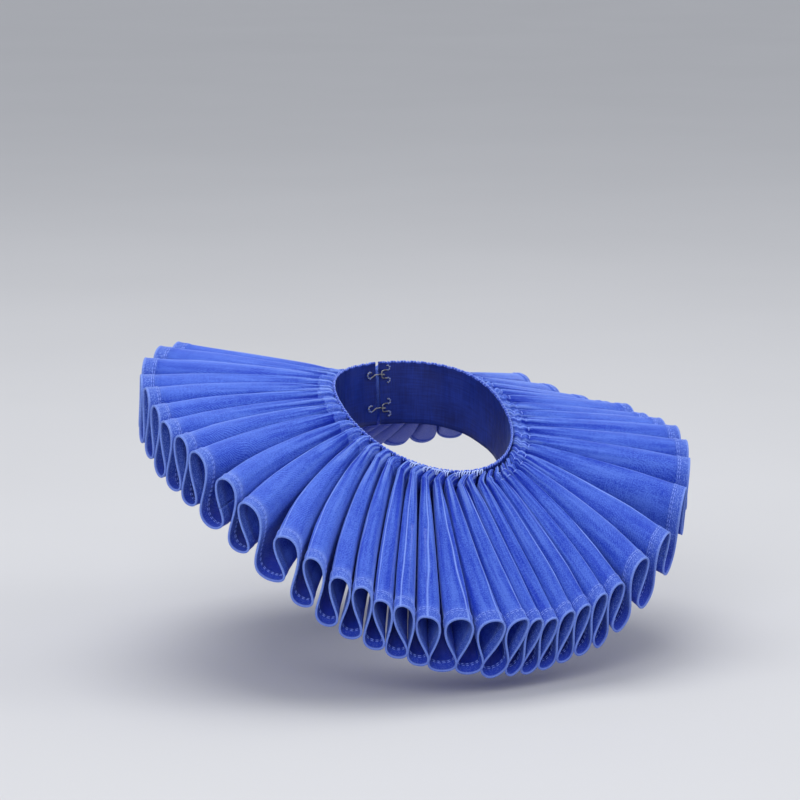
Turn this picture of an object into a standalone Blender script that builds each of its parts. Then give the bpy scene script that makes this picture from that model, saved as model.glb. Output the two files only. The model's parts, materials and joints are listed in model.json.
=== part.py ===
"""Ruff collar: one long hemmed strip of stiff sheer cloth, pleated in deep figure-of-eight
folds and sewn to a neck band that closes with two hooks and eyes at the centre back.

Units are metres; the sizes below are in millimetres and are scaled once, in `to_metres`.
+Z is up, the wearer faces -Y and the wearer's left hand is at +X.
The origin is the middle of the neck opening, in the plane of the pleats' top ends.
"""

import math

import bpy
import numpy as np

# ---- the neck opening -------------------------------------------------------------------
NECK_RADIUS = 63.0        # inner ends of the pleats, from the middle of the opening
NECK_TILT = 30.0          # degrees: the opening drops to the front
BACK_DIP = 15.0           # the back of the opening sits this much below that tilted plane
BACK_OPENING = 3.0        # gap between the two free ends at the centre back

# ---- the pleated strip ------------------------------------------------------------------
FRILL_DEPTH = 130.0       # neck edge to outer edge, along a fold, on average
DEPTH_SWAY = 4.5          # the worn strip is pulled this much further out on one side
SWAY_AZIMUTH = -122.0     # degrees: the side that it is pulled towards
CLOTH_WALL = 1.0          # thickness of the single cloth
HEM_WALL = 1.6            # thickness where the cloth is turned twice
HEM_WIDTH = 9.5           # turned hem at the outer edge
HEM_STEP = 1.0            # run over which the hem's extra thickness comes in
TACK_WIDTH = 12.0         # pleats are tacked together this far from the neck edge
MIDDLE_ROW = 62.0         # one more row of points half-way out
PLEATS_PER_STRIP = 6.5    # eight widths of cloth joined end to end
STRIPS = 8
COLUMNS = 12              # points round one pleat's figure of eight
SEAM_GAP = 0.5            # between the walls of joined strips
BULB_LIMIT = 6.3          # most the folds swell sideways
BULB_PER_PITCH = 0.385    # share of the pitch that the swelling may use
BULB_CLEARANCE = 1.45     # swelling given up so that neighbouring folds stay apart
PLEAT_HEIGHT = 41.0       # top fold to bottom fold
NECK_LEAN = 3.0           # sideways lean of the pleats at the neck edge
NECK_SHEAR = 0.12         # share of the slope that tips the pleats' ends at the neck
EDGE_SHEAR = 0.45         # the same at the outer edge

# ---- the neck band ----------------------------------------------------------------------
BAND_WALL = 1.2
BAND_CLEARANCE = 0.45     # between the band and the pleats' ends
BAND_RISE = 1.4           # band above the top of the pleats
BAND_HEIGHT = 44.0
BAND_COLUMNS = 72
BAND_END = 1.5            # each end stops this far from the centre back

# ---- the hooks and eyes -----------------------------------------------------------------
WIRE_RADIUS = 0.5
WIRE_LIFT = 0.95          # wire's centre line off the band's face
HOOK_RISE = 2.6           # height of the hook's bend
FASTENING_DEPTHS = (9.0, 33.0)   # down from the band's top edge

# ---- colours ----------------------------------------------------------------------------
CLOTH_BLUE = (0.02, 0.06, 0.62)
WIRE_GREY = (0.35, 0.35, 0.38)

# One row per pleat, from the wearer's right of the back opening, round the front, to the
# left of it: azimuth of the fold's outer end (degrees, 0 = front, + = wearer's left) and
# slope of the fold (degrees, - = down and out).
PLEAT_COLUMNS = ("azimuth", "slope")
PLEATS = (
    (-176.0, -23),
    (-169.0, -23),
    (-161.5, -20),
    (-154.0, -11),
    (-147.5, 5),
    (-138.5, 6),
    (-127.0, 6),
    (-115.5, 5),
    (-106.5, 5),
    (-99.5, 3),
    (-94.0, 1),
    (-87.5, 0),
    (-82.5, -2),
    (-74.0, -6),
    (-69.0, -11),
    (-60.5, -18),
    (-55.5, -23),
    (-50.5, -28),
    (-45.5, -30),
    (-41.0, -34),
    (-36.0, -35),
    (-31.0, -39),
    (-23.5, -39),
    (-16.0, -40),
    (-9.0, -40),
    (-4.5, -41),
    (0.5, -42),
    (5.5, -40),
    (10.5, -39),
    (15.5, -36),
    (20.5, -34),
    (26.5, -27),
    (38.0, -24),
    (49.0, -14),
    (56.5, -8),
    (64.0, -6),
    (73.0, -6),
    (81.5, -8),
    (88.5, -10),
    (95.0, -10),
    (101.0, -12),
    (109.0, -13),
    (118.0, -12),
    (125.5, -10),
    (132.5, -13),
    (138.5, -15),
    (145.0, -16),
    (151.5, -18),
    (158.0, -19),
    (164.0, -20),
    (170.0, -21),
    (176.5, -22),
)

# Rows of points from the neck edge outwards: distance (mm), sideways lean (mm) and whether
# the cloth is turned double there.
ROW_COLUMNS = ("distance", "lean", "hemmed")
ROWS = (
    (0.0, NECK_LEAN, False),
    (TACK_WIDTH, 0.0, False),
    (MIDDLE_ROW, 0.0, False),
    (FRILL_DEPTH - HEM_WIDTH - HEM_STEP, 0.0, False),
    (FRILL_DEPTH - HEM_WIDTH, 0.0, True),
    (FRILL_DEPTH, 0.0, True),
)

PLEAT_COUNT = int(PLEATS_PER_STRIP * STRIPS)
TABLE = np.array(PLEATS)
STATIONS = np.arange(PLEAT_COUNT, dtype=float)


def to_metres(points):
    """Millimetres to metres."""
    return np.asarray(points, float) * 0.001


def around(azimuth):
    """Unit vectors at an azimuth in radians: outward, and sideways to the wearer's left."""
    sine, cosine = np.sin(azimuth), np.cos(azimuth)
    zero = np.zeros_like(sine)
    return np.stack([sine, -cosine, zero], -1), np.stack([cosine, sine, zero], -1)


def neck_ring(azimuth, radius):
    """Points of the neck ring: a circle in plan that drops to the front and levels at the back."""
    outward, _ = around(azimuth)
    points = outward * radius
    dip = BACK_DIP * np.maximum(0.0, -np.cos(azimuth)) ** 2
    points[..., 2] = points[..., 1] * math.tan(math.radians(NECK_TILT)) - dip
    return points


def neck_azimuths():
    """Azimuths of the pleats at the neck, where they are gathered evenly."""
    half_gap = math.degrees(BACK_OPENING / 2 / NECK_RADIUS)
    pitch = (360.0 - 2 * half_gap) / PLEAT_COUNT
    return -180.0 + half_gap + pitch * (STATIONS + 0.5)


def between_pleats(values, station):
    """A pleat value at any station along the strip; past the end folds it runs on."""
    steps = np.diff(values)
    ends = np.concatenate([[values[0] - steps[0]], values, [values[-1] + steps[-1]]])
    places = np.concatenate([[-1.0], STATIONS, [float(PLEAT_COUNT)]])
    return np.interp(station, places, ends)


def fold_surface(station, phase, distance, lean):
    """Middle of the cloth at a station of the strip, a phase of its pleat and a distance
    from the neck edge. Phase 0 is the top of the pleat and +-pi the bottom between two."""
    share = distance / FRILL_DEPTH
    neck = between_pleats(neck_azimuths(), station)
    edge = between_pleats(TABLE[:, 0], station)
    azimuth = np.radians(neck + (edge - neck) * share)
    slope = np.radians(between_pleats(TABLE[:, 1], station))
    outward, sideways = around(azimuth)
    up = np.array([0.0, 0.0, 1.0])
    ridge = neck_ring(azimuth, NECK_RADIUS)
    sway = DEPTH_SWAY * np.cos(azimuth - math.radians(SWAY_AZIMUTH))
    run = (distance * (1 + sway / FRILL_DEPTH))[..., None]
    ridge = ridge + run * (np.cos(slope)[..., None] * outward + np.sin(slope)[..., None] * up)
    tip = slope * (NECK_SHEAR + (EDGE_SHEAR - NECK_SHEAR) * share)
    down = np.sin(tip)[..., None] * outward - np.cos(tip)[..., None] * up
    radius = np.hypot(ridge[..., 0], ridge[..., 1])
    nearest = np.floor(station)
    pitch = np.radians(
        (between_pleats(TABLE[:, 0], nearest + 1) - between_pleats(TABLE[:, 0], nearest)) * share
        + (360.0 / PLEAT_COUNT) * (1 - share)
    ) * radius
    bulb = np.minimum(BULB_PER_PITCH * pitch - BULB_CLEARANCE, BULB_LIMIT)
    offset = bulb * np.sin(2 * phase) + lean * np.cos(phase) / 2
    drop = PLEAT_HEIGHT * (1 - np.cos(phase)) / 2
    return ridge + offset[..., None] * sideways + drop[..., None] * down


def strip_ends(strip):
    """First and last column of one width of cloth. The free ends lie at the bottom of a
    fold and the joins on the straight side of one, a quarter of a pleat further on."""
    ends = [int(number * PLEATS_PER_STRIP * COLUMNS) for number in (strip, strip + 1)]
    return [end + (COLUMNS // 4 if 0 < end < PLEAT_COUNT * COLUMNS else 0) for end in ends]


def strip_grid(strip):
    """Grid of middle points, rows by columns, of one width of cloth."""
    first, last = strip_ends(strip)
    phase = -math.pi + np.arange(first, last + 1) * (2 * math.pi / COLUMNS)
    station = phase / (2 * math.pi)
    wrapped = (phase + math.pi) % (2 * math.pi) - math.pi
    grid = np.stack([fold_surface(station, wrapped, distance, lean) for distance, lean, _ in ROWS])
    for end, inner in ((0, 1), (-1, -2)):
        step = grid[:, inner] - grid[:, end]
        length = np.linalg.norm(step, axis=-1, keepdims=True)
        grid[:, end] += step / length * (SEAM_GAP / 2)
    return grid


def band_grid():
    """Grid of middle points of the band that the pleats' ends are sewn to."""
    half_gap = BAND_END / NECK_RADIUS
    azimuth = np.linspace(-math.pi + half_gap, math.pi - half_gap, BAND_COLUMNS + 1)
    slope = np.radians(np.interp(np.degrees(azimuth), neck_azimuths(), TABLE[:, 1]))
    outward, _ = around(azimuth)
    up = np.array([0.0, 0.0, 1.0])
    tip = (slope * NECK_SHEAR)[:, None]
    down = np.sin(tip) * outward - np.cos(tip) * up
    across = np.cos(tip) * outward + np.sin(tip) * up
    middle = neck_ring(azimuth, NECK_RADIUS) - across * (BAND_CLEARANCE + BAND_WALL / 2)
    top = middle - down * BAND_RISE
    return np.stack([top, top + down * BAND_HEIGHT])


def arc(middle, radius, start, end, steps):
    """Points of an arc in the plane of the band's face, as (along, up) pairs."""
    angles = np.radians(np.linspace(start, end, steps))
    return np.stack([middle[0] + radius * np.cos(angles), middle[1] + radius * np.sin(angles)], -1)


def hook_path():
    """A hook lying on the band: (along, up, off) with its open loop at the sewn end."""
    loop = arc((-7.4, 0.0), 2.2, 50.0, 310.0, 9)
    shank = np.array([(-4.4, -1.0), (-3.4, -0.3), (-2.2, 0.0), (3.0, 0.0)])
    flat = np.concatenate([loop, shank])
    flat = np.concatenate([flat, np.full((len(flat), 1), WIRE_LIFT)], axis=1)
    bend = []
    for angle in np.radians(np.linspace(-60.0, 90.0, 6)):
        middle = WIRE_LIFT + HOOK_RISE / 2
        bend.append((3.0 + HOOK_RISE / 2 * math.cos(angle), 0.0, middle + HOOK_RISE / 2 * math.sin(angle)))
    bill = [(0.4, 0.0, WIRE_LIFT + HOOK_RISE + 0.1)]
    return np.concatenate([flat, bend, bill])


def eye_path():
    """The eye: a bar held by the hook, and two legs back to open loops at the sewn end."""
    lift = WIRE_LIFT + HOOK_RISE / 2
    bar = [(2.0, 0.0, lift), (2.0, 1.4, lift), (2.6, 2.5, lift)]
    leg = [(4.2, 2.9, lift - 0.5), (5.4, 2.9, WIRE_LIFT)]
    loop = [(x, y, WIRE_LIFT) for x, y in arc((7.6, 4.4), 1.7, 235.0, 475.0, 8)]
    half = np.array(bar + leg + loop)
    mirrored = half[:0:-1] * np.array([1.0, -1.0, 1.0])
    return np.concatenate([mirrored, half])


def on_band(path, depth):
    """Places a fastening's (along, up, off) path on the band's inner face at the back."""
    slope = math.radians((TABLE[0, 1] + TABLE[-1, 1]) / 2) * NECK_SHEAR
    along, raised, off = path[:, 0], path[:, 1], path[:, 2]
    radius = NECK_RADIUS - BAND_CLEARANCE - BAND_WALL
    azimuth = np.pi - along / radius
    outward, _ = around(azimuth)
    down = np.array([0.0, 0.0, -1.0])
    top = neck_ring(azimuth, NECK_RADIUS)
    drop = (depth - BAND_RISE - raised)[:, None]
    inset = (NECK_RADIUS - radius + off)[:, None]
    lean = math.sin(slope) * (drop + BAND_RISE)
    return top - outward * inset + down * drop + outward * lean


def material(name, colour, roughness, metallic=0.0):
    """One plain Principled material."""
    made = bpy.data.materials.new(name)
    made.use_nodes = True
    shader = made.node_tree.nodes["Principled BSDF"]
    shader.inputs["Base Color"].default_value = (*colour, 1.0)
    shader.inputs["Roughness"].default_value = roughness
    shader.inputs["Metallic"].default_value = metallic
    return made


def add_cloth(collection, name, grid, wall, thin_rows=(), thin_share=1.0):
    """An open surface through a grid of points, given its wall by Solidify. Rows listed as
    thin get that share of the wall."""
    rows, columns = grid.shape[:2]
    faces = []
    for row in range(rows - 1):
        for column in range(columns - 1):
            a = row * columns + column
            faces += [(a, a + 1, a + 1 + columns), (a, a + 1 + columns, a + columns)]
    mesh = bpy.data.meshes.new(name)
    mesh.from_pydata([tuple(point) for point in to_metres(grid.reshape(-1, 3))], [], faces)
    mesh.materials.append(material(name + "_material", CLOTH_BLUE, 0.6))
    mesh.update()
    node = bpy.data.objects.new(name, mesh)
    collection.objects.link(node)
    group = node.vertex_groups.new(name="wall")
    for row in range(rows):
        share = thin_share if row in thin_rows else 1.0
        group.add(list(range(row * columns, (row + 1) * columns)), share, "REPLACE")
    solidify = node.modifiers.new("Wall", "SOLIDIFY")
    solidify.thickness = wall * 0.001
    solidify.offset = 0.0
    solidify.use_even_offset = True
    solidify.use_quality_normals = True
    solidify.vertex_group = group.name
    return node


def add_wire(collection, name, path):
    """A bent wire as a curve with a round bevel and closed ends."""
    curve = bpy.data.curves.new(name, "CURVE")
    curve.dimensions = "3D"
    curve.bevel_depth = WIRE_RADIUS * 0.001
    curve.bevel_resolution = 1
    curve.use_fill_caps = True
    spline = curve.splines.new("POLY")
    spline.points.add(len(path) - 1)
    for point, place in zip(spline.points, to_metres(path)):
        point.co = (*place, 1.0)
    curve.materials.append(material(name + "_material", WIRE_GREY, 0.3, 1.0))
    node = bpy.data.objects.new(name, curve)
    collection.objects.link(node)
    return node


def main():
    for old in list(bpy.data.objects):
        bpy.data.objects.remove(old)
    scene = bpy.context.scene
    scene.unit_settings.system = "METRIC"
    scene.unit_settings.scale_length = 1.0
    collection = bpy.data.collections.new("ruff_collar")
    scene.collection.children.link(collection)
    single_rows = [number for number, row in enumerate(ROWS) if not row[2]]
    for strip in range(STRIPS):
        name = "frill_%d" % (strip + 1)
        share = CLOTH_WALL / HEM_WALL
        add_cloth(collection, name, strip_grid(strip), HEM_WALL, single_rows, share)
    add_cloth(collection, "neck_band", band_grid(), BAND_WALL)
    for index, depth in enumerate(FASTENING_DEPTHS):
        add_wire(collection, "hook_%d" % (index + 1), on_band(hook_path(), depth))
        add_wire(collection, "eye_%d" % (index + 1), on_band(eye_path(), depth))


main()
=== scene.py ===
"""Looks of the ruff collar: sheer pleated cloth, its stitched hem, the neck band and the hooks.

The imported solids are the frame. The cloth is built again here as thin shells on the same form,
from the same sizes, with rounder folds, pressed creases, turned hems and sewing.
Lengths are metres. +Z is up, the wearer faces -Y and the wearer's left is at +X.
"""

import json
import logging
import math
from dataclasses import dataclass, field
from enum import Enum
from functools import cache

import bpy
import numpy as np
from mathutils import Matrix, Vector

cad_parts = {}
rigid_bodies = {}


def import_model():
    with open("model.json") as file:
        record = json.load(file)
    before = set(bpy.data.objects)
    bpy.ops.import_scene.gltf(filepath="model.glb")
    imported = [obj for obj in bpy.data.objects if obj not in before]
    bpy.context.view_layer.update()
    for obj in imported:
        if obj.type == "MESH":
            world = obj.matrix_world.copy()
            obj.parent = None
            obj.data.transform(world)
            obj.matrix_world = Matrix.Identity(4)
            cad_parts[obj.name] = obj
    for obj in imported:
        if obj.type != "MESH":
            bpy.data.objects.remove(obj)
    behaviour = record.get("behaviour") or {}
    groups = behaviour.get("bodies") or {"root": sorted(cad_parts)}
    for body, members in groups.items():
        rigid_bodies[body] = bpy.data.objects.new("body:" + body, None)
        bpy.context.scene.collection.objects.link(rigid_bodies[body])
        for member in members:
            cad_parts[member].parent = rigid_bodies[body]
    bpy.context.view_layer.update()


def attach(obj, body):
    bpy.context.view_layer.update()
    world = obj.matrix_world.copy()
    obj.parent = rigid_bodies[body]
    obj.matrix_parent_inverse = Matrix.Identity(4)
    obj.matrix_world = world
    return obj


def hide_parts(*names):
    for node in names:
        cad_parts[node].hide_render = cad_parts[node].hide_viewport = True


LOG = logging.getLogger("ruff_collar")
MM = 0.001
UP = np.array([0.0, 0.0, 1.0])
ROOT_BODY = "root"

# One row per pleat, from the wearer's right of the back opening, round the front, to the left
# of it: azimuth of the fold's outer end (degrees, 0 = front), slope of the fold (degrees,
# - = down and out), lean of the lobe at the hem (mm, + = top towards the wearer's left), how full
# the lobe stands (share of the usual swell) and how pointed the next bottom fold is (mm).
PLEAT_COLUMNS = ("azimuth", "slope", "lean", "swell", "point")
PLEATS = (
    (-176.0, -23, 0.5, 1.00, 0.0),
    (-169.0, -23, -1.0, 0.95, 0.0),
    (-161.5, -20, 1.5, 1.00, 0.0),
    (-154.0, -11, 0.0, 1.00, 0.0),
    (-147.5, 5, -1.5, 1.00, 1.0),
    (-138.5, 6, 1.0, 1.00, 0.0),
    (-127.0, 6, 2.0, 1.00, 0.0),
    (-115.5, 5, -1.0, 1.00, 0.0),
    (-106.5, 5, 0.5, 1.00, 0.0),
    (-99.5, 3, 1.5, 1.00, 1.5),
    (-94.0, 1, -0.5, 1.00, 0.0),
    (-87.5, 0, 0.0, 1.00, 0.0),
    (-82.5, -2, 1.0, 1.00, 1.0),
    (-74.0, -6, 2.0, 1.00, 0.0),
    (-69.0, -11, 0.0, 1.00, 0.0),
    (-60.5, -18, 1.5, 1.00, 0.0),
    (-55.5, -23, 3.0, 0.90, 0.5),
    (-50.5, -28, 5.0, 0.95, 0.0),
    (-45.5, -30, 3.5, 1.00, 0.0),
    (-41.0, -34, -2.0, 1.00, 0.0),
    (-36.0, -35, -3.0, 1.00, 0.0),
    (-31.0, -39, -2.5, 1.00, 0.0),
    (-23.5, -39, 1.0, 1.00, 0.5),
    (-16.0, -40, 6.5, 1.00, 3.0),
    (-9.0, -40, 9.5, 1.04, 2.0),
    (-4.5, -41, 7.5, 0.96, 1.0),
    (0.5, -42, 5.5, 1.00, 0.5),
    (5.5, -40, 3.0, 0.97, 0.0),
    (10.5, -39, 1.5, 1.00, 1.0),
    (15.5, -36, -2.0, 1.00, 3.0),
    (20.5, -34, -3.5, 1.00, 3.0),
    (26.5, -27, -2.0, 1.05, 2.5),
    (38.0, -24, 1.0, 1.00, 2.0),
    (49.0, -14, 1.0, 1.00, 0.0),
    (56.5, -8, -0.5, 1.00, 0.0),
    (64.0, -6, 0.5, 1.00, 1.5),
    (73.0, -6, 0.0, 1.00, 0.0),
    (81.5, -8, 1.0, 1.00, 0.0),
    (88.5, -10, -1.0, 1.00, 1.0),
    (95.0, -10, 0.5, 1.00, 0.0),
    (101.0, -12, 1.5, 1.00, 0.0),
    (109.0, -13, -1.0, 1.00, 0.0),
    (118.0, -12, 0.0, 1.00, 2.0),
    (125.5, -10, 1.0, 1.00, 0.0),
    (132.5, -13, -1.5, 1.00, 0.0),
    (138.5, -15, 0.5, 1.00, 0.0),
    (145.0, -16, 1.0, 1.00, 1.0),
    (151.5, -18, -0.5, 1.00, 0.0),
    (158.0, -19, 0.0, 1.00, 0.0),
    (164.0, -20, 1.5, 1.00, 1.5),
    (170.0, -21, -1.0, 0.95, 0.0),
    (176.5, -22, 0.0, 1.00, 0.0),
)

# Pressed creases on the front half, each used again on the back half: pleat, phase round the
# fold (degrees, 0 = its top), start and end from the neck edge (mm), height (mm, - = a trough)
# and half width (mm).
CREASES = (
    (12, -24, 10, 88, 0.45, 1.3),
    (13, 30, 6, 112, 0.55, 1.5),
    (14, -12, 14, 70, -0.40, 2.0),
    (15, 22, 8, 96, 0.50, 1.2),
    (16, -30, 10, 118, 0.60, 1.4),
    (17, 15, 12, 60, -0.45, 1.8),
    (17, 34, 24, 116, 0.50, 1.1),
    (18, -20, 8, 104, 0.55, 1.2),
    (19, 26, 6, 92, 0.50, 1.3),
    (20, -34, 12, 118, 0.65, 1.1),
    (20, 8, 30, 84, -0.40, 2.2),
    (21, 24, 8, 110, 0.60, 1.2),
    (22, -18, 10, 76, 0.45, 1.0),
    (22, 32, 20, 118, 0.60, 1.2),
    (23, -30, 6, 114, 0.65, 1.1),
    (23, 6, 36, 100, -0.35, 2.0),
    (24, 20, 8, 118, 0.70, 1.1),
    (24, -28, 18, 82, 0.45, 1.0),
    (25, 34, 10, 106, 0.55, 1.2),
    (25, -10, 6, 64, -0.45, 1.7),
    (26, -26, 8, 118, 0.65, 1.1),
    (26, 18, 26, 96, 0.45, 1.0),
    (27, 30, 6, 116, 0.70, 1.1),
    (28, -22, 10, 100, 0.50, 1.2),
    (28, 28, 14, 118, 0.60, 1.1),
    (29, 10, 8, 72, -0.40, 1.8),
    (29, -32, 20, 112, 0.55, 1.2),
    (30, 24, 6, 108, 0.60, 1.2),
    (31, -16, 12, 90, 0.45, 1.4),
    (32, 28, 8, 118, 0.60, 1.3),
    (32, -36, 30, 104, -0.50, 2.4),
    (33, 14, 10, 86, 0.45, 1.6),
    (34, -26, 6, 110, 0.55, 1.4),
    (35, 20, 12, 78, -0.40, 2.0),
    (36, -12, 8, 98, 0.45, 1.5),
    (37, 30, 10, 114, 0.55, 1.3),
)


@dataclass(frozen=True)
class CollarSizes:
    """Driving sizes of the collar, the same as the solids' where they share one."""

    neck_radius: float = 63.0 * MM
    neck_tilt: float = math.radians(30.0)
    back_dip: float = 15.0 * MM
    back_opening: float = 3.0 * MM
    frill_depth: float = 130.0 * MM
    depth_sway: float = 4.5 * MM
    sway_azimuth: float = math.radians(-122.0)
    hem_width: float = 9.5 * MM
    neck_turning: float = 9.5 * MM
    pleat_height: float = 41.0 * MM
    neck_shear: float = 0.12
    edge_shear: float = 0.45
    bulb_limit: float = 6.3 * MM
    bulb_per_pitch: float = 0.385
    bulb_clearance: float = 0.95 * MM
    neck_lean: float = 17.0 * MM
    side_lean: float = 0.35
    lean_azimuth: float = math.radians(-14.0)
    lean_spread: float = math.radians(42.0)
    lean_run: float = 7.5 * MM
    lean_change: float = 0.12
    run_change: float = 0.28
    neck_round: float = 1.5 * MM
    round_run: float = 3.2 * MM
    tack_rows: tuple = (6.2 * MM, 12.4 * MM)
    tacks_from: float = math.radians(6.0)
    tack_fade: float = math.radians(10.0)
    tack_pinch: float = 0.42
    tack_sink: float = 0.7 * MM
    tack_width: float = 1.5 * MM
    gather_height: float = 0.24 * MM
    gather_run: float = 17.0 * MM
    square_shares: tuple = (0.0, 0.3, 0.75, 1.0)
    squares: tuple = (1.0 * MM, 1.9 * MM, 1.9 * MM, 0.6 * MM)
    fold_tilt: float = 2.5 * MM
    tilt_azimuth: float = math.radians(-32.0)
    tilt_shares: tuple = (0.0, 0.06, 0.2, 0.7, 1.0)
    tilts: tuple = (0.2, 0.5, 1.0, 1.0, 0.45)
    neck_thin: float = 0.42
    thin_run: float = 22.0 * MM
    waist_pinch: float = 0.03
    waist_skew: float = 0.35
    waist_drop: float = 3.6 * MM
    neck_rumple: float = 0.6 * MM
    gather_pitch: float = 6.2 * MM
    gather_rise: float = 0.55 * MM
    rumple_run: float = 14.0 * MM
    bead_run: float = 12.0 * MM
    beads_from: float = 25.5
    bead_fade: float = 1.5
    single_wall: float = 0.32 * MM
    turned_wall: float = 0.75 * MM
    hem_wall: float = 1.0 * MM
    hem_rim: float = 1.4 * MM
    rim_wall: float = 1.5 * MM
    pleats_per_width: float = 6.5
    widths: int = 8
    solid_columns: int = 12
    seam_gap: float = 0.2 * MM


def wander(station: np.ndarray, rate: float, start: float = 0.0) -> np.ndarray:
    """A value from -1 to 1 that changes unevenly from pleat to pleat."""
    return np.sin(rate * station + start)


def unit(vectors: np.ndarray) -> np.ndarray:
    """Vectors scaled to a length of 1."""
    return vectors / np.maximum(np.linalg.norm(vectors, axis=-1, keepdims=True), 1e-12)


def fold_phase(phase: np.ndarray) -> np.ndarray:
    """Phase within each pleat, from -pi to pi, with 0 at its top fold."""
    return (phase + math.pi) % (2 * math.pi) - math.pi


@dataclass(frozen=True)
class StripPlaces:
    """Places on the strip, in rows out from the neck and columns along it.

    Rows are distances from the neck edge and share the same as a part of the whole depth.
    Stations count pleats along the strip, and wrapped is the phase within each pleat.
    """

    rows: np.ndarray
    share: np.ndarray
    station: np.ndarray
    wrapped: np.ndarray
    azimuth: np.ndarray


@dataclass
class PleatedForm:
    """The middle surface of the pleated strip, by phase along the strip and distance out.

    One pleat is a phase of 2 pi: 0 is its top fold and +-pi the bottom folds beside it.
    """

    sizes: CollarSizes
    pleats: np.ndarray = field(init=False)
    stations: np.ndarray = field(init=False)

    def __post_init__(self) -> None:
        """Reads the table of pleats once."""
        self.pleats = np.array(PLEATS, float)
        self.stations = np.arange(len(PLEATS), dtype=float)

    def column(self, name: str) -> np.ndarray:
        """One column of the table of pleats."""
        return self.pleats[:, PLEAT_COLUMNS.index(name)]

    def around(self, azimuth: np.ndarray) -> tuple[np.ndarray, np.ndarray]:
        """Directions at an azimuth.

        Args:
            azimuth: angles from the front, in radians.

        Returns:
            Unit vectors outward, and sideways to the wearer's left.
        """
        sine, cosine = np.sin(azimuth), np.cos(azimuth)
        zero = np.zeros_like(sine)
        return np.stack([sine, -cosine, zero], -1), np.stack([cosine, sine, zero], -1)

    def neck_ring(self, azimuth: np.ndarray, radius: float) -> np.ndarray:
        """Points of the neck ring, which drops to the front and levels at the back.

        Args:
            azimuth: angles from the front, in radians.
            radius: radius of the ring seen from above.

        Returns:
            One point for each angle.
        """
        outward, _ = self.around(azimuth)
        points = outward * radius
        dip = self.sizes.back_dip * np.maximum(0.0, -np.cos(azimuth)) ** 2
        points[..., 2] = points[..., 1] * math.tan(self.sizes.neck_tilt) - dip
        return points

    def neck_azimuths(self) -> np.ndarray:
        """Azimuths of the pleats at the neck, where they are gathered evenly.

        Returns:
            One angle for each pleat, in radians.
        """
        half_gap = self.sizes.back_opening / 2 / self.sizes.neck_radius
        pitch = (2 * math.pi - 2 * half_gap) / len(PLEATS)
        return -math.pi + half_gap + pitch * (self.stations + 0.5)

    def between(self, values: np.ndarray, station: np.ndarray) -> np.ndarray:
        """A value given for each pleat, read at any station.

        Args:
            values: one value for each pleat.
            station: places along the strip, in pleats.

        Returns:
            The value at each station; past the end folds it runs on.
        """
        steps = np.diff(values)
        ends = np.concatenate([[values[0] - steps[0]], values, [values[-1] + steps[-1]]])
        places = np.concatenate([[-1.0], self.stations, [float(len(PLEATS))]])
        return np.interp(station, places, ends)

    def places(self, phase: np.ndarray, distance: np.ndarray) -> StripPlaces:
        """Places where columns along the strip cross rows out from the neck.

        Args:
            phase: phase along the whole strip, one for each column.
            distance: distance from the neck edge, one for each row.

        Returns:
            The places.
        """
        rows = np.asarray(distance, float)[:, None]
        station, share = phase / (2 * math.pi), rows / self.sizes.frill_depth
        neck = self.between(self.neck_azimuths(), station)
        edge = self.between(np.radians(self.column("azimuth")), station)
        return StripPlaces(rows, share, station, fold_phase(phase), neck + (edge - neck) * share)

    def points(self, phase: np.ndarray, distance: np.ndarray) -> np.ndarray:
        """Middle of the cloth before its creases.

        Args:
            phase: phase along the whole strip, one for each column.
            distance: distance from the neck edge, one for each row.

        Returns:
            Points as rows by columns by 3.
        """
        sizes, spot = self.sizes, self.places(phase, distance)
        share, wrapped = spot.share, spot.wrapped
        slope = np.radians(self.between(self.column("slope"), spot.station))
        ridge = self.ridge(spot, slope)
        pitch = self.pitch(spot) * np.hypot(ridge[..., 0], ridge[..., 1])
        outward, sideways = self.around(spot.azimuth)
        shear = sizes.neck_shear + (sizes.edge_shear - sizes.neck_shear) * share
        tip = (slope * shear)[..., None]
        down = np.sin(tip) * outward - np.cos(tip) * UP
        tacked = self.tacked(spot)
        top = np.maximum(np.cos(wrapped), 0.0)
        bulb = self.bulb(spot, pitch) * (1 - sizes.tack_pinch * tacked)
        lean = self.between(self.column("lean"), spot.station) * MM * share**3
        offset = bulb * np.sin(2 * wrapped) + lean * np.cos(wrapped) / 2
        offset = offset + self.gathered_lean(spot) * top**0.7 / 2
        pinch = sizes.waist_pinch * pitch * share**2
        offset = offset - pinch * (np.sin(wrapped) ** 3 - sizes.waist_skew * np.sin(2 * wrapped))
        drop = sizes.pleat_height * (1 - np.cos(wrapped)) / 2
        drop = drop + sizes.waist_drop * np.sin(wrapped) ** 2 * share
        drop = drop - self.fold_rise(spot) - self.rumple(spot)
        ended = np.clip(1 - spot.rows / sizes.round_run, 0, 1) ** 2
        drop = drop + (sizes.neck_round * ended + sizes.tack_sink * tacked) * top
        return ridge + offset[..., None] * sideways + drop[..., None] * down

    def ridge(self, spot: StripPlaces, slope: np.ndarray) -> np.ndarray:
        """Lines that the top folds follow, out from the neck ring.

        Args:
            spot: the places.
            slope: slope of each column, in radians.

        Returns:
            Points as rows by columns by 3.
        """
        sizes = self.sizes
        sway = sizes.depth_sway * np.cos(spot.azimuth - sizes.sway_azimuth)
        run = (spot.rows * (1 + sway / sizes.frill_depth))[..., None]
        outward, _ = self.around(spot.azimuth)
        reach = np.cos(slope)[:, None] * outward + np.sin(slope)[:, None] * UP
        return self.neck_ring(spot.azimuth, sizes.neck_radius) + run * reach

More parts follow.
